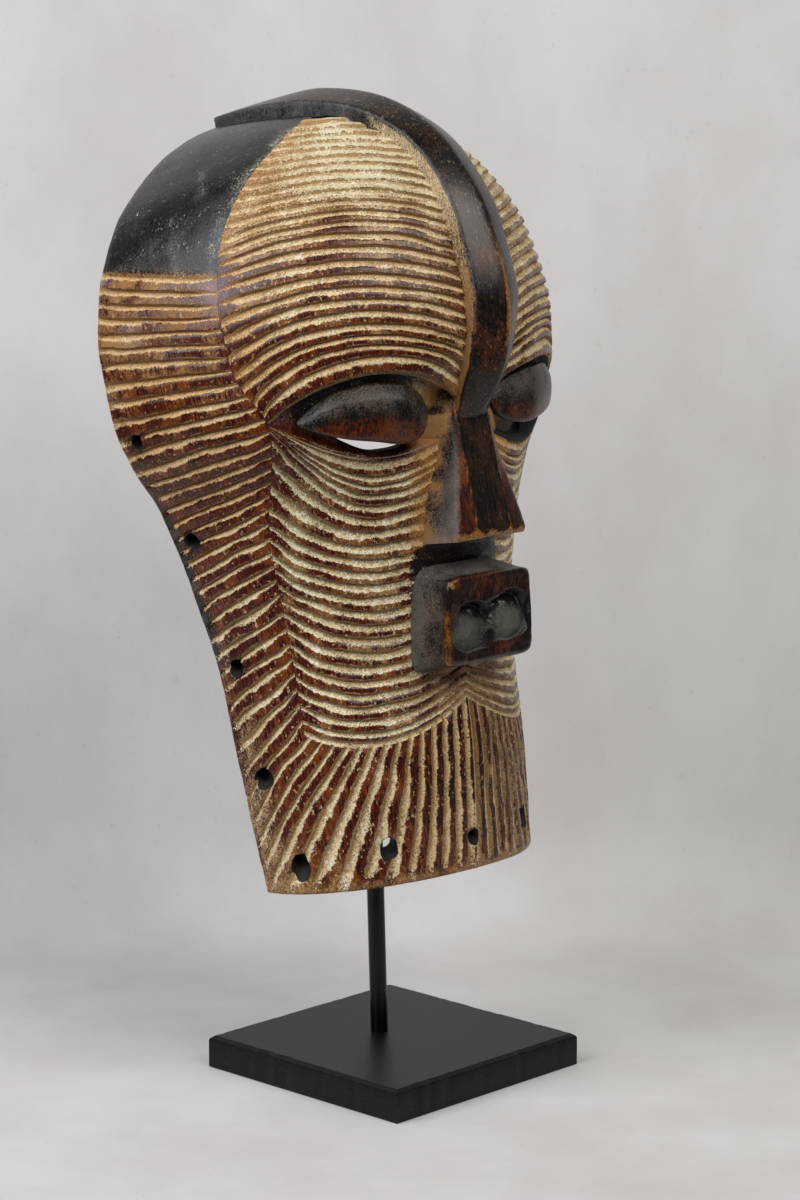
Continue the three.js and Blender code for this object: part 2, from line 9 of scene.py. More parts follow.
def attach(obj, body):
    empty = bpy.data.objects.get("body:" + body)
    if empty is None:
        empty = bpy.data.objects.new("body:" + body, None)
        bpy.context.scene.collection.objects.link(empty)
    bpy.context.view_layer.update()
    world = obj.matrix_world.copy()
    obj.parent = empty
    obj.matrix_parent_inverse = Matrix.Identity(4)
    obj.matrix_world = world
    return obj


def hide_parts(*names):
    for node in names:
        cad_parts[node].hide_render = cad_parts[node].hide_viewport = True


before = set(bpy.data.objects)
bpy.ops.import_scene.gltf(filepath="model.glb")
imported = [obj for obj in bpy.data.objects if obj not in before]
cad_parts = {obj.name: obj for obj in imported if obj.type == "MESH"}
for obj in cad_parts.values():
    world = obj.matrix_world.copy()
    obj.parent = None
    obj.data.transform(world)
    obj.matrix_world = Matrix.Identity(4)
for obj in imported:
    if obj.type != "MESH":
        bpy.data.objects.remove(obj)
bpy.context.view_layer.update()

# Lengths are millimetres until a mesh is made. The mask's own frame has its chin at height 0,
# its rim in the plane y = 0 and its face towards -y
MM = 0.001

# The view of the photograph, and a lens that frames the mask as it does
VIEW_AZIMUTH, VIEW_ELEVATION = -46.265, 9.926
CAMERA_PLACE = (-1116.3, -1072.4, 488.9)
LENS = 104.63
FACE_MIDDLE = (0, 0, 270)

# The mask on its stand, and its half-oval cross sections from the chin to the crown
LEAN_BACK, MASK_Y, MASK_Z = 15.4, 3.4, 94.0
LENGTH, WALL = 346.8, 9.0
PLACE = [0, 0.14, 0.28, 0.4, 0.5, 0.57, 0.63, 0.7, 0.78, 0.87, 0.94, 1]
HALF_WIDTH = [76.6, 78.5, 79.7, 86.4, 95.6, 108.2, 113.7, 113.9, 108, 91, 64.1, 0]
DEPTH = [56.6, 66.9, 74.1, 85.6, 100.9, 115.2, 123.7, 128.7, 127.1, 115.4, 89.3, 0]
CHIN_MIDDLE_HEIGHT, CHIN_CORNER_HEIGHT = -6.3, 2.0

# Grooves are counted as the carver cuts them: whole numbers are their bottoms, and the widths of
# their flanks are shares of the pitch
CORNER, CHIN_CENTRE, FAN_START = 33, 46.5, 36
EYE_FLOOR, BROW, TOP_LINE = 22, 23, 48
EYE_MIDDLE = (EYE_FLOOR + BROW) / 2
CROWN_ROWS = 8
GROOVE_DEPTH = 1.6
UPPER_FLANK, LOWER_FLANK = 0.12, 0.37

# Guide lines of the front grooves: groove, height at the seam, angle where it turns, height
# there, how sharply it climbs to the seam, height at the middle
GUIDES = [
    (0, 66.7, 33, 56.5, 2, 70.5), (5, 99.5, 31, 84.5, 2, 91), (10, 133.5, 27, 113.4, 1.9, 113),
    (15, 165.6, 26, 141.6, 2, 143), (19, 197.8, 27, 163.4, 2.2, 180), (22, 200.2, 26, 176.8, 1.9, 186),
    (23, 201.2, 31, 213, 2, 188), (27, 223.4, 39, 235.3, 2, 215.6), (31, 255, 46, 258, 2, 237.6),
    (35, 276.4, 44, 280.8, 2, 261), (39, 300.3, 42, 300.2, 2, 284), (43, 316.9, 45, 316.8, 2, 303),
    (48, 334, 20, 334.2, 2, 329),
]
GUIDE_GROOVES = [guide[0] for guide in GUIDES]
GUIDE_ENDS = [guide[1] for guide in GUIDES]

# The outer grooves: grooves and heights on the seam, grooves and heights on the rim, and grooves
# and angles on the chin's lower edge
SIDE_SEAM = ([0, 11, 19, 33], [266, 203.3, 160, 66.7])
SIDE_RIM = ([0, 4, 11, 19, 28, 33, 36], [282.6, 257, 200.9, 150, 86, 34, 2])
CHIN_FAN = ([36, 42, 46.5], [90, 28.5, 0])

# How far the face is sunk round the bridge of the nose, by height, and in the eye sockets
BRIDGE_HEIGHT = [172, 186, 196, 206, 216, 224]
BRIDGE_SINK = [0, 4.6, 5.6, 4.6, 1.8, 0]
SOCKET_DEPTH = 6.0

# The seam between side and front, which dips at the temple, and the crown patch's edge above it
SEAM_ANGLE, SEAM_DIP, SEAM_DIP_HEIGHT = 60, 6.8, 198
PATCH_CORNER, PATCH_TOP, PATCH_ROUNDNESS = 262, 339, 2.5

# Eyelids and the slits below them, by the angle from the middle of the face. A slit drops inwards
LID_ANGLE = [14.2, 15.2, 17, 20, 24, 30, 36, 42, 47.3]
LID_LOW = [192, 189, 185, 183.6, 184.3, 187, 189.7, 193.5, 197.8]
LID_HIGH = [192.6, 195.6, 199.8, 203.7, 206.9, 208.8, 208.2, 204.8, 198.3]
LID_BULGE, LID_SUNK_EDGE = 5.0, 3.5
SLIT_ANGLE = [17.5, 20, 23, 27, 32, 37, 41.5]
SLIT_LOW = [182.6, 180.6, 179.6, 180.2, 182.8, 186.3, 191]
SLIT_DROP = [0.5, 0.7, 1.2, 2.2, 4.2, 3.2, 1.8]
LEFT_EYE_RISE, LEFT_EYE_REACH, LEFT_EYE_REACH_FROM, LEFT_EYE_FLATTER = 1.6, 6.5, 30, 0.66

# The crest by height: half its width, and the lifts of its edges and its ridge over the skin
CREST_HEIGHT = [188, 194, 201, 209, 217, 226, 242, 300, 340, 346.8]
CREST_HALF = [9.2, 9.8, 10.9, 12, 12.9, 13.4, 13.9, 13.3, 15, 17.5]
CREST_EDGE = [-4.6, -3.6, -2.2, 0.3, 2.2, 3.8, 5.6, 5, 4.2, 3.2]
CREST_RIDGE = [-2.2, 1.6, 5.4, 8.4, 10.4, 11.5, 11.6, 9.4, 10, 6.5]
CREST_ROOT = 8.0

# The nose by height: half its width and half its middle facet's; then its front and its foot
NOSE_HEIGHT = [136.8, 141, 154, 167, 180, 191, 204]
NOSE_HALF = [21.8, 21.4, 18.6, 15.2, 12.7, 11.4, 9.5]
NOSE_MIDDLE = [11, 10.8, 10.5, 10.3, 10.2, 10.4, 8.4]
NOSE_FRONT, NOSE_FACET_LIFT, NOSE_TOP_FADE, NOSE_UNDERCUT = -104.6, 1.4, 6.0, 3.0
NOSE_BACK, NOSE_ROOT = ([136.8, 191, 204], [22, 26, 12.5]), 5.0

# The mouth block, and the two lips sunk into its face
MOUTH_HALF_TOP, MOUTH_HALF_BOTTOM, MOUTH_BOTTOM, MOUTH_TOP = 26.6, 28.0, 84.0, 122.0
MOUTH_FRONT_TOP, MOUTH_FRONT_BOTTOM = -99.0, -89.2
MOUTH_CORNER, MOUTH_TOP_RISE, MOUTH_ROOT, MOUTH_SQUARENESS = 2.2, 9.0, 3.5, 9.0
LIP_X, LIP_HEIGHT, LIP_HALF_WIDTH, LIP_HALF_HEIGHT, LIP_SINK = 12.7, 101, 13.8, 11.2, 5.6
LIP_TILT = 1.3

# Old lashing holes along the rim: height, angle, diameter, how much the bore slopes upwards, and
# the share of its width that it keeps inside
HOLES = [
    (206, 85, 6.4, 0, 0.3), (160, 83, 7.4, 0.1, 0.3), (102, 81.5, 7.2, 0.35, 0.3), (52, 79, 8.6, 0.6, 0.3),
    (11, 70, 8.6, 1, 0.3), (11, 35, 8.6, 0.55, 1), (8, 0, 7, 0.4, 0.3),
]

# The stand, with the rod bent back behind the chin
ROD_DIAMETER, ROD_LENGTH, ROD_FOOT, ROD_Y, ROD_LEAN = 8.0, 421.3, 7.0, 8.6, 2.0
BEND_START, BEND_RADIUS, BEND_ANGLE = 118.0, 60.0, 8.0
BOARD_SIDE, BOARD_THICKNESS, BOARD_CHAMFER = 120.0, 15.0, 2.2


# Curves, noise and rows of points
def curve_at(places, values, query):
    """A smooth curve through the values that never overshoots; the values may hold several curves."""
    places = np.asarray(places, float)
    values = np.asarray(values, float)
    query = np.asarray(query, float)
    gaps = np.diff(places)
    slopes = (np.diff(values, axis=0).T / gaps).T
    product = slopes[:-1] * slopes[1:]
    total = slopes[:-1] + slopes[1:]
    inner = np.where(product > 0, 2 * product / np.where(product > 0, total, 1), 0)
    tangents = np.concatenate([slopes[:1], inner, slopes[-1:]])
    flat = query.ravel()
    span = np.clip(np.searchsorted(places, flat) - 1, 0, len(gaps) - 1)
    width = gaps[span]
    t = limited((flat - places[span]) / width)
    below = np.minimum(flat - places[0], 0)
    if values.ndim == 2:
        t, width, below = t[:, None], width[:, None], below[:, None]
    blend = t * t * (3 - 2 * t)
    bend = t * (1 - t) * (tangents[span] * (1 - t) - tangents[span + 1] * t) * width
    found = values[span] + (values[span + 1] - values[span]) * blend + bend + below * tangents[0]
    return found if values.ndim == 2 else found.reshape(query.shape)


def mix(low, high, share):
    return low + (high - low) * share


def limited(value):
    return np.clip(value, 0, 1)


def ease(start, end, value):
    """A smooth rise from 0 at start to 1 at end; it falls where start is the larger."""
    t = limited((np.asarray(value, float) - start) / (end - start))
    return t * t * (3 - 2 * t)


def hump(value, centre, reach):
    """A smooth bump that is 1 at the centre and about a third one reach away."""
    return np.exp(-(((np.asarray(value, float) - centre) / reach) ** 2))


def mottle(x, y, seed):
    """Smooth random values from -1 to 1 over the plane, with a new value about every unit."""
    table = np.random.default_rng(seed).uniform(-1, 1, (256, 256))
    x, y = np.broadcast_arrays(np.asarray(x, float), np.asarray(y, float))
    cell_x, cell_y = np.floor(x).astype(int), np.floor(y).astype(int)
    part_x, part_y = x - cell_x, y - cell_y
    part_x = part_x * part_x * (3 - 2 * part_x)
    part_y = part_y * part_y * (3 - 2 * part_y)
    corners = [table[(cell_x + i) % 256, (cell_y + j) % 256] for j in (0, 1) for i in (0, 1)]
    return mix(mix(corners[0], corners[1], part_x), mix(corners[2], corners[3], part_x), part_y)


# The mask's surface
def half_width(height):
    return np.sqrt(np.maximum(curve_at(PLACE, np.square(HALF_WIDTH), height / LENGTH), 0))


def depth(height):
    return np.sqrt(np.maximum(curve_at(PLACE, np.square(DEPTH), height / LENGTH), 0))


def bare_skin(height, angle):
    turn = np.radians(angle)
    return np.stack([half_width(height) * np.sin(turn), -depth(height) * np.cos(turn), height], -1)


def bridge_sink(height, angle):
    inside = np.clip(height, BRIDGE_HEIGHT[0], BRIDGE_HEIGHT[-1])
    return curve_at(BRIDGE_HEIGHT, BRIDGE_SINK, inside) * ease(24, 9, np.abs(angle))


def skin(height, angle, lift=0.0):
    """Points of the mask's surface, raised by lift along its normal."""
    height, angle, lift = (np.array(values, float) for values in np.broadcast_arrays(height, angle, lift))
    turn = np.radians(angle)
    across = np.stack([half_width(height) * np.cos(turn), depth(height) * np.sin(turn), 0 * turn], -1)
    up = bare_skin(height + 0.01, angle) - bare_skin(height - 0.01, angle)
    normal = np.cross(across, up)
    normal /= np.maximum(np.linalg.norm(normal, axis=-1, keepdims=True), 1e-9)
    point = bare_skin(height, angle) + normal * (lift - bridge_sink(height, angle))[..., None]
    crown = np.stack([0 * lift, 0 * lift, LENGTH + lift], -1)
    return np.where((height > LENGTH - 0.02)[..., None], crown, point)


def chin_edge(angle):
    return mix(CHIN_MIDDLE_HEIGHT, CHIN_CORNER_HEIGHT, (np.abs(angle) / 90) ** 2.2)


def border_angle(height):
    """Angle of the line between side and front: the crown patch's edge, then the seam below it."""
    height = np.asarray(height, float)
    dip = hump(height, SEAM_DIP_HEIGHT, np.where(height > SEAM_DIP_HEIGHT, 20, 28))
    rise = limited((height - PATCH_CORNER) / (PATCH_TOP - PATCH_CORNER))
    patch_edge = SEAM_ANGLE * (1 - rise**PATCH_ROUNDNESS) ** (1 / PATCH_ROUNDNESS)
    return np.minimum(SEAM_ANGLE - SEAM_DIP * dip, patch_edge)


def front_place(groove, t):
    """Heights and angles on the front grooves, t running from the seam (0) to the middle (1)."""
    groove, t = np.atleast_1d(groove).astype(float), np.atleast_1d(t).astype(float)
    heights = []
    for _, end, turn, level, power, centre in GUIDES:
        angle = border_angle(end) * (1 - t)
        outer = limited((angle - turn) / (border_angle(end) - turn)) ** power
        inner = limited((turn - angle) / turn) ** 2
        heights.append(level + (end - level) * outer + (centre - level) * inner)
    height = curve_at(GUIDE_GROOVES, heights, groove)
    ends = curve_at(GUIDE_GROOVES, GUIDE_ENDS, groove)
    return height, border_angle(ends)[:, None] * (1 - t)[None, :]


def band_start(groove):
    """Where a groove of the outer band leaves the border of the front."""
    climb, turn = -groove / CROWN_ROWS, 0.75
    if climb > turn:
        height, angle = front_place(TOP_LINE, (climb - turn) / (1 - turn))
        return height[0, 0], angle[0, 0]
    if climb > 0:
        height = mix(SIDE_SEAM[1][0], GUIDE_ENDS[-1], math.sin(math.radians(90 * climb / turn)))
        return height, float(border_angle(height))
    if groove <= CORNER:
        height = float(curve_at(*SIDE_SEAM, groove))
        return height, float(border_angle(height))
    height, angle = front_place(0, (groove - CORNER) / (CHIN_CENTRE - CORNER))
    return height[0, 0], angle[0, 0]


def band_end(groove):
    """Where a groove of the outer band ends, on the rim or on the chin's lower edge."""
    if groove < 0:
        height = mix(SIDE_RIM[1][0], LENGTH, -groove / CROWN_ROWS)
        return height, 0.0 if groove == -CROWN_ROWS else 90.0
    if groove <= FAN_START:
        return float(curve_at(*SIDE_RIM, groove)), 90.0
    angle = float(curve_at(*CHIN_FAN, groove))
    return float(chin_edge(angle)), angle


def band_place(groove, t):
    """Heights and angles on the outer grooves, t running from the border (0) to the rim (1)."""
    ends = np.array([band_start(g) + band_end(g) for g in groove])
    fan = limited((groove - CORNER) / 4) * limited((CHIN_CENTRE - groove) / 6)
    bow = fan[:, None] * np.sin(np.pi * t)
    height = mix(ends[:, 0:1], ends[:, 2:3], t)
    return height, mix(ends[:, 1:2], ends[:, 3:4], t) - bow


# How the carver's grooves run and how deep they are
def cut(phase, flank, depth_share):
    """Depth of the groove at a phase: steep under the ridge above it, gentle over the one below."""
    off = phase - np.round(phase)
    near = np.abs(off) / np.where(off > 0, UPPER_FLANK, LOWER_FLANK * flank)
    return GROOVE_DEPTH * depth_share * limited(1 - near) ** 0.85


def wander(height, angle):
    """How far a hand-cut groove strays from its line, as a share of the pitch."""
    across = angle * 1.9
    slow = 0.1 * mottle(across / 19, height / 8, 3) + 0.12 * mottle(across / 44, height / 17, 6)
    return slow + 0.035 * mottle(across / 5, height / 4, 4)


def strayed(grooves, height, angle, share):
    """Places moved along the run of the grooves' numbers, by each groove's own wandering."""
    shift = wander(height, angle) * share / np.gradient(grooves)[:, None]
    return height + shift * np.gradient(height, axis=0), angle + shift * np.gradient(angle, axis=0)


def hand_cut(height, angle):
    """The uneven surface that a small adze leaves."""
    return 0.2 * mottle(angle / 5, height / 9, 5) + 0.08 * mottle(angle / 1.6, height / 3, 7)


def rooted_angle(height):
    """Angle of the foot of the nose and the mouth block, where the grooves stop; 0 above and below."""
    beside_mouth = (height > MOUTH_BOTTOM - 1) & (height < NOSE_HEIGHT[0] + 2)
    foot = np.where(beside_mouth, MOUTH_HALF_BOTTOM - 2, 0.0)
    beside_nose = (height > NOSE_HEIGHT[0] + 1) & (height < NOSE_HEIGHT[-1])
    foot = np.where(beside_nose, np.interp(height, *NOSE_BACK), foot)
    return np.degrees(np.arcsin(limited(foot / half_width(height))))


class Surface:
    """Points in millimetres and the faces between them, with named values at each point."""

    def __init__(self, value_names=()):
        self.value_names = value_names
        self.points, self.values = [], {name: [] for name in value_names}
        self.faces, self.materials = [], []
        self.count = 0

    def add(self, points, values=None):
        """Adds points and gives their numbers, in the same rows and columns."""
        shape = points.shape[:-1]
        self.points.append(points.reshape(-1, 3))
        for name in self.value_names:
            value = (values or {}).get(name, 0.0)
            self.values[name].append(np.broadcast_to(value, shape).ravel().astype(np.float32))
        numbers = np.arange(self.count, self.count + self.points[-1].shape[0]).reshape(shape)
        self.count += self.points[-1].shape[0]
        return numbers

    def grid(self, numbers, material=0, closed=False):
        """Faces between neighbouring rows; closed joins the end of each row to its start."""
        if closed:
            numbers = np.concatenate([numbers, numbers[:, :1]], 1)
        corners = [numbers[:-1, :-1], numbers[1:, :-1], numbers[1:, 1:], numbers[:-1, 1:]]
        quads = np.stack(corners, -1).reshape(-1, 4).tolist()
        self.faces += quads
        self.materials += [material] * len(quads)

    def face(self, numbers, material):
        self.faces.append([int(number) for number in numbers])
        self.materials.append(material)

    def tube(self, rings, values=None, material=0):
        """A closed body through rings of equal count, flat at both ends."""
        numbers = self.add(rings, values)
        self.grid(numbers, material, closed=True)
        self.face(numbers[0], material)
        self.face(numbers[-1], material)

    def stitch(self, first, second, material=0):
        """Joins two lines of points, each with its own count, by the shorter diagonals."""
        points = np.concatenate(self.points)
        i = j = 0
        while i < len(first) - 1 or j < len(second) - 1:
            to_first = to_second = math.inf
            if i < len(first) - 1:
                to_first = np.sum((points[first[i + 1]] - points[second[j]]) ** 2)
            if j < len(second) - 1:
                to_second = np.sum((points[second[j + 1]] - points[first[i]]) ** 2)
            if to_first <= to_second:
                self.face((first[i], second[j], first[i + 1]), material)
                i += 1
            else:
                self.face((first[i], second[j], second[j + 1]), material)
                j += 1

    def build(self, name, materials, sharp=50.0, leaning=True):
        """The finished piece, in metres; a leaning one is given in the mask's own frame."""
        mesh = bpy.data.meshes.new(name)
        points = np.concatenate(self.points) * MM
        mesh.from_pydata(points.tolist(), [], self.faces)
        corners = np.concatenate([np.array(face) for face in self.faces])
        for value_name, held in self.values.items():
            layer = mesh.attributes.new(value_name, "FLOAT", "CORNER")
            layer.data.foreach_set("value", np.concatenate(held)[corners])
        mesh.polygons.foreach_set("material_index", self.materials)
        tidy = bmesh.new()
        tidy.from_mesh(mesh)
        bmesh.ops.remove_doubles(tidy, verts=tidy.verts, dist=3e-6)
        bmesh.ops.recalc_face_normals(tidy, faces=tidy.faces)
        tidy.to_mesh(mesh)
        tidy.free()
        if leaning:
            place = Matrix.Translation((0, MASK_Y * MM, MASK_Z * MM))
            mesh.transform(place @ Matrix.Rotation(-math.radians(LEAN_BACK), 4, "X"))
        for material in materials:
            mesh.materials.append(material)
        mesh.shade_smooth()
        mesh.set_sharp_from_angle(angle=math.radians(sharp))
        piece = bpy.data.objects.new(name, mesh)
        bpy.context.scene.collection.objects.link(piece)
        return piece


def rounded_line(line, radius, count):
    """A line of points with its corners rounded off, as count points at even steps."""
    line = np.asarray(line, float)
    along = np.concatenate([[0], np.cumsum(np.linalg.norm(np.diff(line, axis=0), axis=1))])
    fine = count * 6
    at = np.linspace(0, along[-1], fine)
    dense = np.stack([np.interp(at, along, line[:, k]) for k in range(line.shape[1])], -1)
    reach = max(int(radius / along[-1] * fine), 1)
    weights = np.hanning(2 * reach + 3)[1:-1]
    before = 2 * dense[0] - dense[reach:0:-1]
    after = 2 * dense[-1] - dense[-2 : -reach - 2 : -1]
    padded = np.concatenate([before, dense, after])
    smooth = [np.convolve(padded[:, k], weights / weights.sum(), "valid") for k in range(line.shape[1])]
    return np.stack(smooth, -1)[np.linspace(0, fine - 1, count).astype(int)]


# Paint and wear by zone: the groove's number, the width of its filled flank, how much filling is
# left, how white it is, smeared kaolin, ochre wear, grey dust with painted sheen, and redness of the wood
VALUES = ("groove", "flank", "cover", "white", "smear", "wear", "dust_and_sheen", "red")


def front_paint(groove, height, angle):
    """Kaolin is cream on forehead and cheeks, tan near the seam and gone in the eye sockets."""
    right_side = angle < 0
    reach = np.abs(angle)
    from_seam = border_angle(height) - reach
    foot = reach - rooted_angle(height)
    patch = mottle(angle / 9, height / 14, 11)
    spots = mottle(angle / 3, height / 5, 13)

    # Where a point is: in the eye socket, on cheek or forehead, near the nose, the mouth or the crest
    inside = (groove > EYE_FLOOR) & (groove < EYE_FLOOR + 0.92)
    below_eye = inside * ease(EYE_FLOOR + 0.5, EYE_FLOOR + 0.2, groove)
    cheek = ease(EYE_FLOOR + 1, EYE_FLOOR - 4, groove)
    forehead = ease(BROW, BROW + 4, groove)
    top = ease(PATCH_CORNER, 305, height + 7 * patch)
    # Between the nose and the block the face is painted black as shade: no filling, smear, wear or red
    # there, only grey dust near the block
    upper_lip_in_painted_shade = (height > MOUTH_TOP - 6) * (height < NOSE_HEIGHT[0] + 2) * ease(3, -3, foot + 2.5 * spots)
    beside_nose = (height > NOSE_HEIGHT[0]) * (foot > -14) * ease(7, 1, foot) * ease(216, 200, height)
    below_block = ease(24, 10, reach) * hump(height, 74, 11)
    beside_crest = ease(17, 8, reach) * forehead
    worn = worn_corner(height, from_seam)
    soft_border = ease(7, 0, from_seam + 4 * spots) * hump(height, 272, 12) * (0.5 + 0.6 * patch)

    # Kaolin smeared over the ridges: a cloud on the upper forehead, two smudges, and ochre on the seam
    cloud = (0.55 + 0.35 * hump(reach, 24, 26)) * ease(276, 306, height + 9 * patch + 4 * spots)
    cloud = cloud + 0.35 * hump(height, PATCH_CORNER, 12) * hump(reach, 18, 10)
    for smudge_height, smudge_angle, size in ((241, -16.5, 4), (228.5, -28, 3.5)):
        cloud = cloud + 0.8 * hump(height, smudge_height, size) * hump(angle, smudge_angle, size * 0.8)
    ochre = hump(from_seam, 2.5, 2.2) * hump(height, 126, 4) * right_side
    smear = cloud + 0.9 * ochre + 0.45 * below_block + 0.4 * beside_nose + beside_crest * (0.3 + 0.55 * top)
    smear = smear * (1 - upper_lip_in_painted_shade) + 0.12 * ease(18, 13, reach) * hump(height, 208, 9)
    socket_smear = 0.7 * ease(25, 17, reach) * ease(213, 201, height)

    # The filling of the grooves, which narrows towards the seam
    narrowing = mix(mix(6, 4, forehead), 2.5, top)
    taper = mix(mix(0.35, 0.6, forehead), 1, ease(0, narrowing, from_seam))
    wide = 1.2 + 0.42 * cheek * ease(4, 22, from_seam) + 0.2 * forehead * ease(3, 14, from_seam)
    wide = wide + 0.25 * top + 0.26 * patch + 0.2 * spots
    cover = 0.95 + 0.12 * patch + 0.1 * spots - 0.12 * ease(4, 0, from_seam) * forehead
    cover = cover - 0.4 * worn - upper_lip_in_painted_shade
    socket_cover = 0.85 * (groove < EYE_FLOOR + 0.12) * ease(27, 36, reach)
    white = 0.52 + 0.2 * cheek * ease(24, 36, foot) + 0.3 * cheek + 0.34 * top + 0.2 * patch
    white = white - 0.5 * ease(16, 0, from_seam) * forehead - 0.4 * ease(240, 214, height) * forehead
    white = limited(white) - 0.6 * below_block - 0.85 * beside_nose - ochre

    # The wood of the ridges
    wear = 0.27 + 0.14 * cheek + 0.12 * forehead + 0.75 * top + 0.45 * beside_nose
    wear = limited(wear + 0.25 * patch + 0.2 * spots) * (1 - inside) * (1 - upper_lip_in_painted_shade)
    wear = wear + 0.2 * below_eye * right_side
    wear = wear + 0.5 * inside * ease(24, 15, reach) * ease(214, 202, height)
    dust_and_sheen = 0.6 * worn + 0.3 * soft_border + 0.6 * upper_lip_in_painted_shade * ease(134, 118, height)
    # Painted sheen, grey-lilac, near the seam at the temple and on the middle of the forehead
    dust_and_sheen = dust_and_sheen + 0.06 * ease(28, 6, from_seam) * hump(height, 256, 22)
    dust_and_sheen = dust_and_sheen + 0.1 * hump(height, 250, 24) * hump(reach, 30, 18)
    dust_and_sheen = dust_and_sheen + 0.28 * inside * right_side * (1 - below_eye)
    red = 0.95 - 0.3 * top + 0.1 * patch - 0.8 * upper_lip_in_painted_shade
    socket_red = 0.12 + 0.5 * right_side * (below_eye + ease(44, 50, reach))
    return {
        "flank": wide * taper * (1 - 0.5 * worn),
        "cover": np.where(inside, socket_cover, limited(cover)),
        "white": limited(white),
        "smear": limited(np.where(inside, socket_smear, smear)),
        "wear": wear,
        "dust_and_sheen": limited(dust_and_sheen),
        "red": limited(np.where(inside, socket_red, red)),
    }


def worn_corner(height, from_seam):
    """The spot at the crown patch's corner where hands have rubbed the grooves away."""
    return hump(from_seam, 0.5, 3.6) * hump(height, PATCH_CORNER, 12)


def near_holes(height, angle):
    """How close a point is to the worn edge of a lashing hole."""
    close = 0 * height
    for hole_height, hole_angle, diameter, _, _ in HOLES:
        away = np.hypot(height - hole_height, (np.abs(angle) - hole_angle) * 1.7)
        close = np.maximum(close, ease(diameter / 2 + 2.6, diameter / 2 + 0.4, away))
    return close


def band_paint(groove, height, angle):
    """The sides keep warm tan earth in their grooves; the crown patch and the chin are darker."""
    reach = np.abs(angle)
    from_seam = reach - border_angle(height)
    patch = mottle(angle / 9, height / 14, 12)
    spots = mottle(angle / 3, height / 5, 14)
    mottled = mottle(angle / 6, height / 9, 15) + 0.7 * mottle(angle / 2.2, height / 3, 16)

    # Where a point is: on the crown patch, the temple, the lower side or the chin, or near an edge
    crown = ease(0.1, -0.35, groove)
    temple = ease(12, 5, groove) * (1 - crown)
    low_side = ease(15, 24, groove)
    chin = ease(CORNER, FAN_START + 2, groove)
    centre = ease(40, 14, reach) * chin
    turned_away = ease(-4, 8, angle) * chin
    orange = chin * ease(44, 72, reach) * ease(60, 20, height)
    speckled = hump(reach, 84, 8) * hump(height, 45, 50)
    edge = ease(85, 89, reach) * (1 - crown) * mix(0.35, 1, ease(200, 180, height))
    dark_edge = ease(81, 88, reach) * ease(192, 160, height) * ease(85, 115, height) * (1 - crown)
    chin_rim = ease(8, 2, height - chin_edge(angle)) * chin
    hole = near_holes(height, angle)
    worn = worn_corner(height, from_seam)
    worn_crown = crown * hump(from_seam + 2 * spots, 0, 3.5) * ease(PATCH_CORNER, 290, height)
    chip = hump(height, 35, 3) * hump(angle, 9.5, 1.6)

    # The filling of the grooves, which narrows towards the seam
    taper = mix(0.35, 1, ease(0, 6, np.where(groove < CORNER, from_seam, 9)))
    flank = 0.9 - 0.12 * low_side + 0.25 * chin + 0.1 * turned_away + 0.22 * patch + 0.16 * spots
    cover = 0.97 + 0.2 * patch + 0.14 * spots - 0.3 * speckled - 0.7 * chin_rim
    cover = cover - 0.9 * edge - 0.4 * worn - 0.6 * hole
    white = 0.14 + 0.42 * low_side + 0.1 * chin + 0.15 * turned_away - 0.4 * centre + 0.2 * patch + crown
    smear = 0.5 * speckled + 0.42 * temple * (1 + spots) + 0.06 * centre + chip + 0.3 * worn_crown

    # The wood of the ridges
    wear = 0.1 + 0.34 * temple + 0.3 * speckled + 0.4 * orange - 0.2 * dark_edge + 0.25 * hole
    wear = limited(wear + 0.16 * patch + 0.12 * spots)
    # Painted sheen: grey-lilac on the temple and grey-blue low on the crown patch; grey dust elsewhere
    dust_and_sheen = 0.38 * temple * (0.6 + 1.1 * patch) + 0.04 * centre + 0.3 * dark_edge * (0.7 + spots)
    dust_and_sheen = dust_and_sheen + crown * (0.08 + 0.12 * mottled + 0.32 * ease(300, 270, height))
    dust_and_sheen = dust_and_sheen + 0.65 * worn + 0.4 * worn_crown + 0.3 * hole
    red = 0.97 - 0.5 * centre - 0.75 * dark_edge - 0.3 * hole
    return {
        "flank": flank * taper * (1 - 0.4 * worn),
        "cover": (1 - crown) * limited(cover),
        "white": limited(white),
        "smear": limited(smear),
        "wear": wear * (1 - crown) + 0.6 * chin_rim,
        "dust_and_sheen": limited(dust_and_sheen),
        "red": limited((1 - crown) * red),
    }


# The grooved shell, with the places of its materials in its list; the third is near-black painted shade for
# the openings and the left eye's socket
PAINTED, BARE, PAINTED_SHADE_BLACK = 0, 1, 2


def even_steps(first, last, per_groove):
    return first + np.arange(round((last - first) * per_groove) + 1) / per_groove


# Rows across the eye socket, close together at the rims where it turns in
SOCKET_STEPS = np.concatenate([
    [0.03, 0.06, 0.09, 0.11, 0.13, 0.15, 0.17, 0.21], np.linspace(0.28, 0.84, 9),
    [0.88, 0.91, 0.93, 0.95, 0.97, 0.985],
])


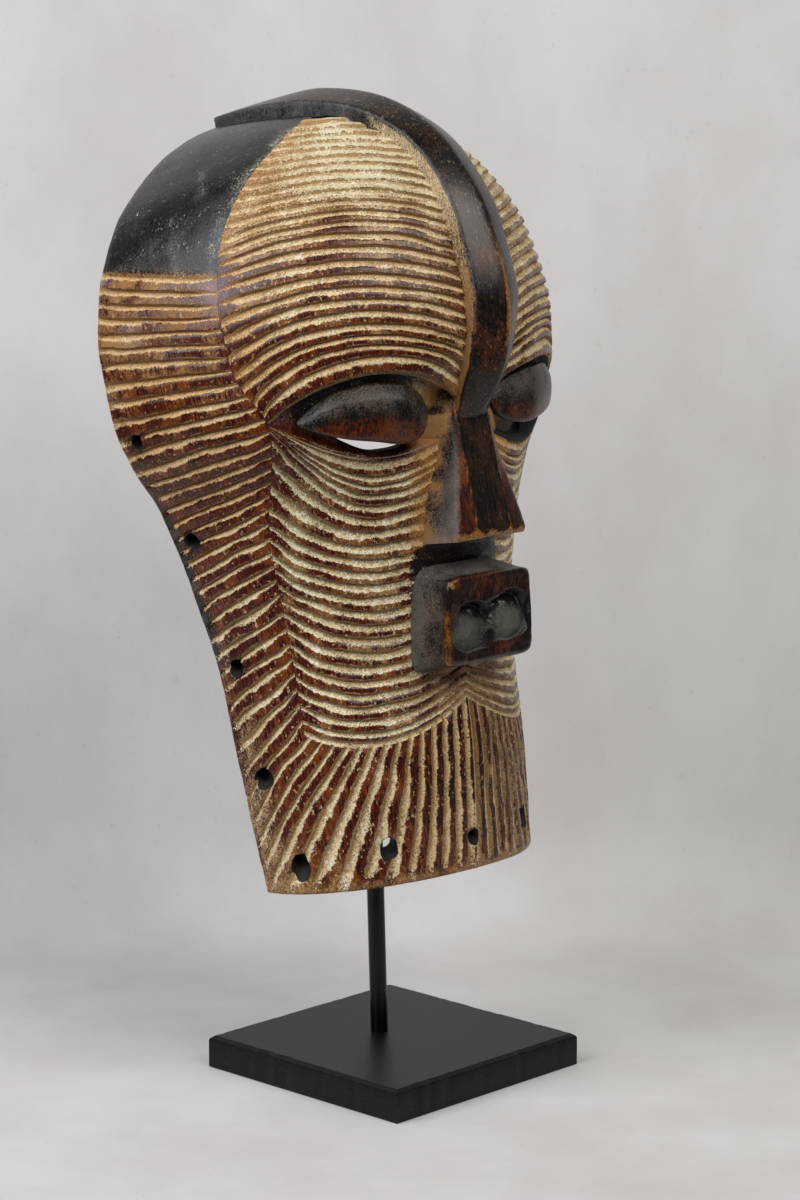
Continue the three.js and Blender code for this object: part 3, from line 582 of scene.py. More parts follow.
def add_front(surface, side, per_groove, columns):
    """The grooved front of one half, with the eye socket sunk under the brow."""
    grooves = np.concatenate([
        even_steps(0, EYE_FLOOR, per_groove),
        EYE_FLOOR + SOCKET_STEPS,
        even_steps(BROW, TOP_LINE, per_groove),
    ])
    height, angle = front_place(grooves, np.linspace(0, 1, columns))
    opening = height[grooves == BROW] - height[grooves == EYE_FLOOR]
    number = grooves[:, None] + 0 * height
    within = limited(number - EYE_FLOOR)

    free = ease(0, 2, number) * ease(TOP_LINE, TOP_LINE - 2, number)
    free = free * ease(0.5, 2.5, np.abs(number - EYE_MIDDLE))
    height, angle = strayed(grooves, height, -side * angle, free)
    from_seam = border_angle(height) - np.abs(angle)
    from_foot = np.abs(angle) - rooted_angle(height)
    paint = front_paint(number, height, angle)

    # The lowest groove is a broad pale arc that lies against the chin's fan
    phase = number - 0.3 * ease(0.95, 0.3, number)
    shallow = mix(0.15, 1, ease(0.5, 5, from_foot)) * mix(0.2, 1, ease(0, 5, from_seam))
    shallow = shallow * (1 - 0.7 * worn_corner(height, from_seam)) * mix(1, 0.6, ease(270, 305, height))
    carved = cut(phase, paint["flank"], shallow) * ((number <= EYE_FLOOR) | (number >= BROW))
    sunk = curve_at([0, 0.09, 0.17, 0.92, 1], [0, 0.08, 1, 1, 0], within)
    socket = SOCKET_DEPTH * limited((opening - 2) / 14) * sunk * (number < BROW)

    # The brow's lower edge and the rim below the eye each hold a line of kaolin, as a groove does
    brow_line = BROW - 0.4 * (1 - within) / 0.08
    rim_line = EYE_FLOOR + within / 0.07
    paint["groove"] = np.where((within > 0.92) & (number < BROW), brow_line, phase)
    paint["groove"] = np.where((within > 0) & (within < 0.12), rim_line, paint["groove"])
    numbers = surface.add(skin(height, angle, hand_cut(height, angle) - carved - socket), paint)

    # The left eye's socket is painted near black as shade
    floor, brow = (int(np.argmin(np.abs(grooves - groove))) for groove in (EYE_FLOOR, BROW))
    surface.grid(numbers[: floor + 1])
    surface.grid(numbers[floor : brow + 1], PAINTED if side > 0 else PAINTED_SHADE_BLACK)
    surface.grid(numbers[brow:])
    return numbers


def add_band(surface, side, per_groove, columns):
    """The outer band of one half: the smooth crown patch, the grooved side and the chin's fan."""
    grooves = even_steps(-CROWN_ROWS, CHIN_CENTRE, per_groove)
    t = np.concatenate([np.linspace(0.008, 0.97, columns), [0.985, 1]])
    height, angle = band_place(grooves, t[None, :])
    number = grooves[:, None] + 0 * height

    free = ease(0, 1.5, number) * ease(CHIN_CENTRE, CHIN_CENTRE - 2, number)
    free = free * mix(1, 0.6, ease(CORNER, FAN_START, number))
    height, angle = strayed(grooves, height, -side * angle, free)
    from_seam = np.where(number < CORNER, np.abs(angle) - border_angle(height), 9)
    paint = band_paint(number, height, angle)
    paint["groove"] = -number

    # The grooves fade out at the rim, sooner on the lower side than on the temple
    fade_low = ease(0.86, 0.985, t)[None, :] * ease(200, 180, height)
    fade_high = ease(0.95, 1, t)[None, :] * ease(180, 200, height)
    shallow = mix(0.2, 1, ease(0, 5, from_seam)) * (1 - 0.7 * worn_corner(height, from_seam))
    shallow = shallow * mix(1, 0.08, limited(fade_low + fade_high))
    worn_rim = 0.9 * limited((t - 0.97) / 0.03) ** 2
    lift = hand_cut(height, angle) - worn_rim[None, :]
    lift = lift - cut(-number, paint["flank"], shallow) * ease(-0.45, 0, number)
    numbers = surface.add(skin(height, angle, lift), paint)
    surface.grid(numbers)
    return numbers, int(np.argmin(np.abs(grooves - FAN_START)))


def add_inside(surface, side):
    """The plain hollow behind the face, left as the adze cut it."""
    rows, columns = 34, 22
    t = np.linspace(0, 1, rows)[:, None]
    angle = 90 * (1 - np.linspace(0, 1, columns))[None, :]
    level = LENGTH - (LENGTH - CHIN_CORNER_HEIGHT) * t**1.5
    height = level + (chin_edge(angle) - CHIN_CORNER_HEIGHT) * t**2
    lift = 0.5 * mottle(angle / 6, height / 14, 9) - WALL
    numbers = surface.add(skin(height, -side * angle, lift))
    surface.grid(numbers, BARE)
    return numbers


def worn_seam(surface, border, band_line):
    """The points along the border of the front once more, with the look of the ridges round them."""
    points = np.concatenate(surface.points)
    lines = []
    for line in (border, band_line):
        own = points[line]
        height = own[:, 2]
        worn = hump(height, PATCH_CORNER, 12) * (np.abs(own[:, 0]) > 60)
        low = ease(PATCH_CORNER + 13, PATCH_CORNER, height)
        on_chin = (height < 72) & (np.abs(own[:, 0]) < 66)
        lines.append(surface.add(own, {
            "groove": np.where(on_chin, -0.3, 0.5),
            "flank": 1.0,
            "cover": np.where(on_chin, 0.9, 0.5 * low),
            "white": 0.5,
            "smear": 0.3 * (1 - low),
            "wear": 0.32 * low,
            "dust_and_sheen": limited(0.6 * worn + 0.15 * (1 - low)),
            "red": 0.9 * low,
        }))
    return lines


def mask_shell(materials):
    """Both halves of the carved shell, closed over the rim to the plain hollow behind."""
    surface = Surface(VALUES)
    per_groove = 8
    for side in (1, -1):
        front = add_front(surface, side, per_groove, 58)
        band, corner = add_band(surface, side, per_groove, 22)
        inner = add_inside(surface, side)
        border = np.concatenate([front[-1, ::-1], front[-2:0:-1, 0], front[0]])
        surface.stitch(*worn_seam(surface, border, band[:, 0]))
        surface.stitch(band[: corner + 1, -1], inner[:, 0], BARE)
        surface.stitch(band[corner:, -1], inner[-1], BARE)
    return surface.build("mask_shell", materials, 60)


def eye_angle(angle, side):
    """The left eye is stretched towards the nose."""
    reach = limited((LEFT_EYE_REACH_FROM - angle) / (LEFT_EYE_REACH_FROM - LID_ANGLE[0]))
    return angle - (LEFT_EYE_REACH * reach if side < 0 else 0)


def lid_edges(angle, side):
    """Heights of an eyelid's lower and upper edge; the left eye is set a little higher."""
    rise = LEFT_EYE_RISE if side < 0 else 0
    return curve_at(LID_ANGLE, LID_LOW, angle) + rise, curve_at(LID_ANGLE, LID_HIGH, angle) + 0.4 * rise


def cutters():
    """Solids that open the shell: the slits below the eyelids and the lashing holes."""
    surface = Surface()
    for side in (1, -1):
        angle = np.linspace(SLIT_ANGLE[-1], SLIT_ANGLE[0], 40)
        low = curve_at(SLIT_ANGLE, SLIT_LOW, angle)
        high = lid_edges(angle, side)[0] + 1.5
        turned = -side * eye_angle(angle, side)
        low_inside = low - curve_at(SLIT_ANGLE, SLIT_DROP, angle)
        outside, behind = 6, -WALL - 6
        ring = [(low + 1, outside), (high, outside), (high, behind), (low_inside, behind)]
        rings = np.stack([skin(height, turned, lift) for height, lift in ring], 1)
        surface.tube(rings, material=PAINTED_SHADE_BLACK)
        for hole in HOLES:
            if hole[1] > 0 or side > 0:
                surface.tube(lashing_hole(side, *hole), material=PAINTED_SHADE_BLACK)
    # Three alike, so that a cut face finds its near-black painted-shade wood at the same place in the
    # shell's list
    return surface.build("openings", [bpy.data.materials["painted_shade_black_wood_in_the_openings"]] * 3)


def lashing_hole(side, height, angle, diameter, slope, kept):
    """Rings of an uneven bore: a little wider at its worn mouth, and narrower inside."""
    centre = skin(height, -side * angle)
    outward = Vector(skin(height, -side * angle, 1.0) - centre) - slope * Vector((0, 0, 1))
    turn = np.array(outward.to_track_quat("Z", "Y").to_matrix())
    around = np.linspace(0, 2 * np.pi, 24, endpoint=False)
    radius = diameter / 2 * (1 + 0.05 * np.sin(2 * around + height) + 0.03 * np.sin(5 * around))
    rings = []
    for reach, taper in ((-2 * WALL, kept), (-1.2, 1), (0.1, 1.15), (2 * WALL, 1.15)):
        wide = radius * taper
        flat = np.stack([wide * np.cos(around), wide * np.sin(around), 0 * around + reach], -1)
        rings.append(flat @ turn.T + centre)
    return np.array(rings)


def open_shell(shell):
    """Cuts the openings and keeps the result as the shell's own mesh."""
    tool = cutters()
    change = shell.modifiers.new("openings", "BOOLEAN")
    change.object = tool
    change.solver = "MANIFOLD"
    changed = shell.evaluated_get(bpy.context.evaluated_depsgraph_get())
    opened = bpy.data.meshes.new_from_object(changed)
    shell.modifiers.clear()
    shell.data = opened
    bpy.data.objects.remove(tool)


# The raised features, each a closed body rooted in the shell
def loft(name, rings, materials, values=None, sharp=55.0, leaning=True):
    """A piece that is one closed body through rings of equal count."""
    surface = Surface(VALUES if values else ())
    surface.tube(np.asarray(rings), values)
    return surface.build(name, materials, sharp, leaning)


def slab(name, front, back, materials, values):
    """A closed body between a front and a back grid of equal size."""
    surface = Surface(VALUES)
    grids = [surface.add(front, values), surface.add(back)]
    for grid in grids:
        surface.grid(grid)
    for line in zip(*((grid[0], grid[-1], grid[:, 0], grid[:, -1]) for grid in grids)):
        surface.grid(np.stack(line))
    return surface.build(name, materials, 55)


def ring_values(paint, **others):
    """The values of a loft's rings, name by name, with others that are the same all over."""
    return {name: np.array([ring[name] for ring in paint]) for name in paint[0]} | others


def crest(materials):
    """A band with upright sides and a low roof, from the nose's bridge to the crown's back."""
    stations = 150
    start = CREST_HEIGHT[0]
    heights = start + (LENGTH - start) * np.sin(np.radians(90 * np.linspace(0, 1, stations)))
    rings, shares, lifts = [], [], []
    for height in heights:
        half = float(curve_at(CREST_HEIGHT, CREST_HALF, height))
        edge = float(curve_at(CREST_HEIGHT, CREST_EDGE, height))
        ridge = float(curve_at(CREST_HEIGHT, CREST_RIDGE, height))
        share = np.linspace(-1, 1, 21)
        roof = np.stack([share * half, mix(ridge, edge, np.abs(share) ** 1.25)], -1)
        line = np.concatenate([[[-half, -CREST_ROOT]], roof, [[half, -CREST_ROOT]]])
        section = rounded_line(line, 1.5, 52)
        base = skin(height, 0.0, section[:, 1] + float(bridge_sink(height, 0.0)))
        base[:, 0] = section[:, 0] + 0.25 * mottle(height / 11, section[:, 1] / 6, 21)
        rings.append(base)
        shares.append(section[:, 0] / half)
        lifts.append(section[:, 1] - edge)
    shares, lifts = np.array(shares), np.array(lifts)
    height = heights[:, None] + 0 * shares
    wall = ease(-0.7, -1.5, lifts)
    arris = hump(lifts, -0.5, 0.7)
    painted = ease(330, 318, height)
    speckles = mottle(shares * 7, height / 3, 22)
    ridge_wear = hump(shares, 0.03, 0.1) * hump(height, 236, 18)
    end_line = hump(height, 189.2, 0.8) * hump(shares, -0.2, 0.6)
    wear = 0.03 + 0.5 * end_line + 1.1 * ridge_wear + 0.1 * speckles
    wear = wear + 0.1 * hump(height, 226, 22) * (shares > -0.4)
    values = {
        "groove": 0.5,
        "cover": 0.25 * (1 - wall),
        "wear": limited(wear) * (1 - wall) + 0.35 * wall * painted,
        "smear": wall * painted * 0.8,
        "white": 0.15 + 0.55 * ease(225, 290, height),
        # Painted sheen along the arrises above height 200; grey dust on the wall near the crown's back
        "dust_and_sheen": limited(0.06 + 0.55 * arris * ease(200, 250, height) + 0.4 * wall * (1 - painted)),
        "red": limited(0.12 + 0.14 * hump(height, 232, 30) + 0.3 * wall * painted),
    }
    return loft("crest", rings, materials, values)


def nose(materials):
    """A long wedge of three facets that widens down to a sharp lower edge."""
    rings, paint = [], []
    low, high = NOSE_HEIGHT[0], NOSE_HEIGHT[-1]
    for share in np.linspace(0, 1, 64):
        height = mix(low, high, share)
        back_height = mix(low + NOSE_UNDERCUT, high, share)
        half = float(curve_at(NOSE_HEIGHT, NOSE_HALF, height))
        middle = min(float(curve_at(NOSE_HEIGHT, NOSE_MIDDLE, height)), half - 0.8)
        back = float(np.interp(back_height, *NOSE_BACK))
        surface = float(depth(back_height)) * math.sqrt(1 - (back / float(half_width(back_height))) ** 2)
        root = -surface + NOSE_ROOT + float(bridge_sink(back_height, 0.0))
        worn = 1.6 * limited(1 - share / 0.045) ** 2
        edge = NOSE_FRONT + worn
        facet = edge - NOSE_FACET_LIFT * limited((high - height) / NOSE_TOP_FADE)
        line = [
            (-back, root, back_height), (-half, edge, height), (-middle, facet, height),
            (0, facet - 0.3, height),
            (middle, facet, height), (half, edge, height), (back, root, back_height),
        ]
        section = rounded_line(line, 1.1, 56)
        section[:, 1] += 0.2 * mottle(section[:, 0] / 5, height / 7, 23)
        rings.append(section)

        across = np.abs(section[:, 0])
        flank = ease(half - 0.5, half + 0.8, across)
        ripple = 0.5 * mottle(height / 3 + 0 * across, across / 9, 25)
        line_wear = 0.6 * hump(across, middle, 0.55 + 0.3 * ripple[0])
        low_edge = ease(0.055, 0.015, share + 0.025 * mottle(section[:, 0] / 3, 0 * across, 24))
        from_front = ease(0.25, 1.05, (section[:, 1] - NOSE_FRONT) / (root - NOSE_ROOT - NOSE_FRONT + 0.01))
        near_lid, bare_top = ease(0.5, 0.85, share), ease(0.98, 0.84, share)
        wear = 0.05 + line_wear + 0.9 * low_edge * (1 - 0.6 * flank) + 0.3 * from_front * flank
        # Painted sheen: grey on the flanks, less near the lid and most at the bottom, and along the outer
        # arrises below the lid
        dust_and_sheen = 0.04 + flank * (0.22 * (1 - near_lid) + 0.2 * ease(0.3, 0.05, share))
        dust_and_sheen = dust_and_sheen + 0.45 * hump(across, half, 0.7) * ease(0.9, 0.6, share)
        red = 0.12 + 0.42 * ease(middle - 0.6, middle + 0.6, across) * (1 - flank) + 0.25 * from_front
        smear = (0.95 * from_front + 0.6 * near_lid) * flank * bare_top * (0.8 + ripple)
        paint.append({
            "wear": limited(wear), "dust_and_sheen": limited(dust_and_sheen), "red": limited(red), "smear": limited(smear),
        })
    return loft("nose", rings, materials, ring_values(paint, groove=0.5, cover=0.12, white=0.12))


def lip_place(x, height):
    """Where a point of the block's face is on the nearer lip, from -1 to 1; the left one sits higher."""
    tilt = LIP_TILT * np.clip(x / LIP_X, -1, 1)
    return (np.abs(x) - LIP_X) / LIP_HALF_WIDTH, (height - LIP_HEIGHT - tilt) / LIP_HALF_HEIGHT


def lip_sink(x, height):
    """How far the figure-of-eight mouth is sunk into the block: deepest above each domed lip."""
    across, up = lip_place(x, height)
    inside = ease(0, 0.2, 1 - across * across - up * up)
    from_lip = np.sqrt(across * across + ((up + 0.32) / 0.85) ** 2)
    return inside * mix(0.3, LIP_SINK, limited((from_lip - 0.1) / 1.25) ** 1.6)


def mouth_block(materials):
    """A square block with worn corners and edges that carries the mouth."""
    count = 220
    around = 2 * np.pi * np.arange(count) / count
    unit = np.stack([np.cos(around), np.sin(around)], -1)
    square = np.sign(unit) * np.abs(unit) ** (2 / MOUTH_SQUARENESS)
    square /= np.abs(square).max(1, keepdims=True) ** 0.15
    inner = np.linspace(0.02, 0.9, 64)
    shrink = np.concatenate([inner, 0.9 + 0.1 * np.sin(np.linspace(0.1, 1, 10) * np.pi / 2)])
    middle, half_high = (MOUTH_TOP + MOUTH_BOTTOM) / 2, (MOUTH_TOP - MOUTH_BOTTOM) / 2
    rings, paint = [], []
    for share in shrink:
        height = middle + half_high * share * square[:, 1]
        up = (height - MOUTH_BOTTOM) / (MOUTH_TOP - MOUTH_BOTTOM)
        x = mix(MOUTH_HALF_BOTTOM, MOUTH_HALF_TOP, up) * share * square[:, 0]
        plane = mix(MOUTH_FRONT_BOTTOM, MOUTH_FRONT_TOP, up)
        edge = limited((share - 0.9) / 0.1)
        worn = MOUTH_CORNER * (1 - math.sqrt(max(1 - edge**2, 0)))
        sink = lip_sink(x, height)
        rough = 0.22 * mottle(x / 3, height / 3, 27) * (1 + 2 * (sink > 0.4))
        rough = rough + 0.3 * mottle(x / 8, height / 8, 28)
        rings.append(np.stack([x, plane + worn + sink + rough, height], -1))

        across, up = lip_place(x, height)
        lip = ease(0, 0.1, 1 - across * across - up * up)
        low_side = hump(np.abs(x), 26.4, 1.6) * ease(112, 90, height)
        chip = hump(x, -24.5, 1.3) * hump(height, 118.5, 2.2)
        wear = 0.06 + 0.15 * hump(share, 1, 0.03) + 0.42 * low_side + 0.8 * chip
        paint.append({
            "wear": (1 - lip) * limited(wear),
            # The lips: grey dust that is palest on their domes, partly painted light, and black in the deep
            # top of the recess as painted shade
            "dust_and_sheen": limited(0.62 * lip * ease(4.5, 1.5, sink) + 0.06),
            "red": 0.4 - 0.4 * lip,
        })
    front = rings[-1]
    raised = middle + half_high * square[:, 1] + MOUTH_TOP_RISE * limited(square[:, 1]) ** 6
    x = front[:, 0] * 1.01
    surface = depth(raised) * np.sqrt(1 - (x / half_width(raised)) ** 2)
    back = np.stack([x, -surface + MOUTH_ROOT, raised], -1)
    on_top = (square[:, 1] > 0.9) & (np.abs(square[:, 0]) < 0.93)
    for share in np.linspace(0.1, 1, 10):
        ripple = 0.5 * mottle(around * 9, share * 4 + 0 * around, 29)[:, None] * share * (1 - share)
        rings.append(mix(front, back, share) + ripple)
        paint.append({
            "wear": limited(0.22 - 2 * share) + 0 * x,
            "dust_and_sheen": np.where(on_top, 0.5 + 0.3 * share, 0.28 + 0.35 * ease(0.2, 0.9, share)),
            "red": 0.12 + 0 * x,
        })
    return loft("mouth_block", rings, materials, ring_values(paint, groove=0.5), 60)


def eyelid(side, materials):
    """A heavy upper lid: an almond that swells towards its overhanging lower edge."""
    columns, rows = ((76, 30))

    # Shares of the way from the outer corner inwards, and from the lower edge upwards
    inwards = (1 - np.cos(np.linspace(0, np.pi, columns))) / 2
    upwards = np.concatenate([[0, 0.012, 0.03, 0.055, 0.085], np.linspace(0.12, 1, rows)])
    angle = mix(LID_ANGLE[-1], LID_ANGLE[0], inwards)
    low, high = lid_edges(angle, side)
    height = mix(low[None, :], high[None, :], upwards[:, None])
    along = np.sqrt(np.maximum(1 - np.abs(2 * inwards - 1) ** 3, 0))[None, :]
    fullness = [0.9, 1.05, 0.92, 0.42, -0.5] if side < 0 else [0.9, 1.05, 1, 0.66, -0.5]
    swell = curve_at([0, 0.12, 0.4, 0.75, 1], fullness, upwards)[:, None]
    bulge = LID_BULGE * (LEFT_EYE_FLATTER if side < 0 else 1)
    worn = 1.1 * (1 - np.sqrt(1 - limited(1 - upwards / 0.085) ** 2))[:, None]
    lift = LID_SUNK_EDGE * (along - 1) + bulge * swell * along - worn * along
    turned = -side * eye_angle(angle, side)[None, :] + 0 * height
    lift = lift + 0.18 * mottle(turned / 3, height / 5, 31) * along
    front = skin(height, turned, lift)
    back = skin(height, turned, 1 - WALL)
    all_over, reddest = (0.16, 0.344) if side < 0 else (0, 0.6)
    values = {
        "groove": 0.5,
        "wear": 0.06 + 0.2 * hump(upwards, 0.03, 0.05)[:, None] * along,
        # Grey dust with painted sheen on the upper half of each lid and towards its outer corner; the left
        # lid is dusty all over
        "dust_and_sheen": all_over + 0.3 * ease(0.3, 0.7, upwards)[:, None] + 0.35 * ease(0.25, 0, inwards)[None, :],
        "red": 0.08 + reddest * ease(0.6, 0.2, upwards)[:, None] * ease(0, 0.25, inwards)[None, :],
    }
    return slab("right_eyelid" if side > 0 else "left_eyelid", front, back, materials, values)


# The stand
def steel_rod(material):
    """A round rod that bends back behind the chin, with a rounded tip inside the crown."""
    radius, sides = ROD_DIAMETER / 2, 40
    lengths = np.concatenate([
        [0.0], np.linspace(BEND_START, BEND_START + BEND_RADIUS * math.radians(BEND_ANGLE), 12),
        ROD_LENGTH - radius + radius * np.sin(np.linspace(0, math.pi / 2, 10)),
    ])
    past_dome = limited((lengths - ROD_LENGTH + radius) / radius)
    radii = np.maximum(radius * np.sqrt(1 - past_dome**2), 0.05)
    around = 2 * np.pi * np.arange(sides) / sides
    x, across = radii[:, None] * np.cos(around), radii[:, None] * np.sin(around)
    beyond = np.maximum(lengths - BEND_START, 0)[:, None]
    turn = np.minimum(beyond / BEND_RADIUS, math.radians(BEND_ANGLE))
    straight = beyond - turn * BEND_RADIUS
    y = BEND_RADIUS * (1 - np.cos(turn)) + straight * np.sin(turn) + across * np.cos(turn)
    start = np.minimum(lengths, BEND_START)[:, None]
    z = start + BEND_RADIUS * np.sin(turn) + straight * np.cos(turn) - across * np.sin(turn)
    piece = loft("steel_rod", np.stack([x, y, z], -1), [material], sharp=35, leaning=False)
    lean = Matrix.Rotation(-math.radians(ROD_LEAN), 4, "X")
    piece.data.transform(Matrix.Translation((0, ROD_Y * MM, ROD_FOOT * MM)) @ lean)
    return piece


def base_block(material):
    """A square board with a worn chamfer round its top, laid on the floor."""
    half, chamfer = BOARD_SIDE / 2, BOARD_CHAMFER
    steps = np.linspace(0, 1, 60)[:-1]
    corners = np.array([(-1, -1), (1, -1), (1, 1), (-1, 1)])
    outline = np.concatenate([mix(corners[i], corners[(i + 1) % 4], steps[:, None]) for i in range(4)])
    # How far each ring lies in from the side, and its height
    inset = [
        (0.4, 0), (0, 0.5), (0, BOARD_THICKNESS - chamfer), (0.35, BOARD_THICKNESS - chamfer + 0.9),
        (chamfer - 0.5, BOARD_THICKNESS - 0.35), (chamfer, BOARD_THICKNESS),
        (chamfer + 0.6, BOARD_THICKNESS), (chamfer + 1.2, BOARD_THICKNESS),
    ]
    nicks = 0.16 * limited(mottle(outline[:, 0] * 14, outline[:, 1] * 14, 41) - 0.35)
    rings = []
    for inwards, z in inset:
        flat = outline * (half - inwards) * (1 - nicks[:, None] / 9 * (z > BOARD_THICKNESS / 2))
        rings.append(np.concatenate([flat, np.full((len(flat), 1), z)], 1))
    return loft("base_block", rings, [material], sharp=30, leaning=False)


# Materials
def linear(code):
    """An sRGB hex colour as the linear values that a shader takes."""
    parts = [int(code[i : i + 2], 16) / 255 for i in (1, 3, 5)]
    return [c / 12.92 if c <= 0.04045 else ((c + 0.055) / 1.055) ** 2.4 for c in parts] + [1.0]


def node(material, kind, **given):
    """Adds a node of a kind. Names in small letters are its settings.

    The others are its inputs, by name or by number: a value, a hex colour, a node or a node's output.
    """
    added = material.node_tree.nodes.new("ShaderNode" + kind)
    for name, value in given.items():
        if name[0].islower():
            setattr(added, name, value)
            continue
        socket = added.inputs[int(name[1:])] if name[0] == "_" else added.inputs[name.replace("_", " ")]
        if isinstance(value, bpy.types.Node):
            value = value.outputs[0]
        if isinstance(value, bpy.types.NodeSocket):
            material.node_tree.links.new(value, socket)
        else:
            socket.default_value = linear(value) if isinstance(value, str) else value
    return added


def new_material(name):
    material = bpy.data.materials.new(name)
    material.use_nodes = True
    material.node_tree.nodes.clear()
    return material


def finished(material, **looks):
    """The material with its one shader, which shows the given looks."""
    node(material, "OutputMaterial", Surface=node(material, "BsdfPrincipled", **looks))
    return material


def pattern(material, size, detail, rough, lean=True):
    """Noise whose features have the given sizes in millimetres across, into and along the wood."""
    scaled = node(
        material, "Mapping", vector_type="TEXTURE",
        Vector=node(material, "TexCoord").outputs["Object"],
        Rotation=(-math.radians(LEAN_BACK) if lean else 0, 0, 0), Scale=[s * MM for s in size],
    )
    return node(material, "TexNoise", Vector=scaled, Scale=1.0, Detail=detail, Roughness=rough)


def uneven(material, amount, *noises):
    """An amount made uneven by noises, each given with how far it swings the amount."""
    for noise, swing in noises:
        shift = node(material, "Math", operation="MULTIPLY_ADD", _0=noise, _1=swing, _2=-swing / 2)
        amount = node(material, "Math", operation="ADD", _0=amount, _1=shift)
    return amount


def spread(material, amount, *noises, starts, full, least=0.0, most=1.0):
    """How much of a finish lies at a point: least where its uneven amount only starts, most at full."""
    return node(
        material, "MapRange", interpolation_type="SMOOTHSTEP",
        _0=uneven(material, amount, *noises), _1=starts, _2=full, _3=least, _4=most,
    )


def layered(material, base, *coats):
    """A base colour under coats, each given as how much of it lies there and its colour."""
    for share, colour in coats:
        base = node(material, "Mix", data_type="RGBA", _0=share, _6=base, _7=colour).outputs[2]
    return base


def painted_wood():
    """Carved dense wood under old handling patina, with kaolin and tan earth rubbed into its grooves.

    The ridges are red-brown to black and satin, streaked along the grain and worn ochre where hands
    rub; the filling is matt and chalky, with painted shade under the ridge above it, and thick along its
    lower edge.
    """
    wood = new_material("carved_patinated_wood_with_kaolin")
    value = {name: node(wood, "Attribute", attribute_name=name).outputs["Fac"] for name in VALUES}
    red, white, cover = value["red"], value["white"], value["cover"]

    # Grain and dirt, in millimetres; the finest are drawn a little coarser than real, so that they show
    streaks = pattern(wood, (0.9, 0.9, 9), 3, 0.65)
    ticks = pattern(wood, (1.1, 1.1, 2.2), 3, 0.65)
    fine = pattern(wood, (0.8, 0.8, 0.8), 3, 0.7)
    crumbs = pattern(wood, (2.4, 2.4, 2), 3, 0.65)
    patches = pattern(wood, (12, 12, 16), 3, 0.6)

    # The wood of the ridges: black patina rubbed through to red-brown, lighter along the grain
    grain = spread(wood, streaks, starts=0.36, full=0.64)
    black_wood = layered(wood, "#090707", (grain, "#1e1714"))
    red_wood = layered(wood, "#2a0b06", (grain, "#571c0a"))
    rubbed = spread(wood, red, (patches, 0.8), starts=0.2, full=0.8)
    most_browned = node(wood, "Math", operation="MULTIPLY", _0=red, _1=0.7)
    browned = spread(wood, streaks, (patches, 1.8), starts=0.44, full=0.72, most=most_browned)

    # Ochre wear, and grey dust with painted sheen that turns lilac on red wood; only a trace shows where
    # none is given
    worn = spread(wood, value["wear"], (ticks, 1), (patches, 1.2), starts=0.3, full=0.85, most=0.9)
    gold = layered(wood, "#ab7a3c", (white, "#b7a070"))
    ochre = layered(wood, "#7a4315", (spread(wood, fine, starts=0.4, full=0.6), gold))
    most_dust_and_sheen = spread(wood, value["dust_and_sheen"], starts=0, full=0.2, least=0.1275, most=0.85)
    dust_and_sheen_share = spread(wood, value["dust_and_sheen"], (fine, 1.4), (patches, 1), starts=0.15, full=1, most=most_dust_and_sheen)
    dust_and_sheen = layered(wood, "#64635a", (white, "#636a70"), (red, "#93848a"))

    # Kaolin and tan earth smeared over the ridges, and ticks of it in their scratches
    tan = layered(wood, "#9c713f", (white, "#a88d60"))
    cream = layered(wood, "#d6b07c", (white, "#dcd1ae"))
    most_smeared = spread(wood, value["smear"], starts=0, full=0.2, least=0.276, most=0.92)
    swings = (streaks, 0.7), (fine, 1.6), (patches, 1.3)
    smeared = spread(wood, value["smear"], *swings, starts=0.15, full=1, most=most_smeared)
    kaolin = layered(wood, tan, (spread(wood, white, (fine, 2.4), starts=0.35, full=0.9), cream))
    most_ticked = node(wood, "Math", operation="MULTIPLY", _0=cover, _1=0.85)
    ticked = spread(wood, ticks, (crumbs, 0.9), starts=0.64, full=0.72, most=most_ticked)
    pale_tick = layered(wood, "#bb9157", (white, "#c9b88e"))
    coats = (browned, "#7c3d0f"), (worn, ochre), (dust_and_sheen_share, dust_and_sheen), (smeared, kaolin), (ticked, pale_tick)
    ridges = layered(wood, black_wood, (rubbed, red_wood), *coats)

    # How far a point lies above the bottom of the nearest groove, as a share of the pitch
    crooked = uneven(wood, value["groove"], (crumbs, 0.42), (fine, 0.2), (patches, 0.45))
    past_ridge = node(wood, "Math", operation="ADD", _0=crooked, _1=0.5)
    past_ridge = node(wood, "Math", operation="FRACT", _0=past_ridge)
    above = node(wood, "Math", operation="SUBTRACT", _0=past_ridge, _1=0.5)

    # From 0 at the bottom to 1 at either edge; then from -1 at the upper edge to 1 at the lower one
    upward = node(wood, "Math", operation="DIVIDE", _0=above, _1=UPPER_FLANK)
    lower_flank = node(wood, "Math", operation="MAXIMUM", _0=value["flank"], _1=0.05)
    lower_flank = node(wood, "Math", operation="MULTIPLY", _0=lower_flank, _1=-LOWER_FLANK)
    downward = node(wood, "Math", operation="DIVIDE", _0=above, _1=lower_flank)
    from_bottom = node(wood, "Math", operation="MAXIMUM", _0=upward, _1=downward)
    from_top = node(wood, "Math", operation="MULTIPLY", _0=upward, _1=-1.0)
    from_top = node(wood, "Math", operation="MINIMUM", _0=downward, _1=from_top)
    from_top = uneven(wood, from_top, (crumbs, 2.6), (fine, 1.5))

    # The filling: painted shade at the top under the ridge above, tan, then cream along the lower edge,
    # with crusts and bare specks
    kept = spread(wood, cover, (fine, 2), (crumbs, 1.5), starts=0.3, full=0.6)
    filled = spread(wood, from_bottom, starts=1.16, full=0.92, most=kept)
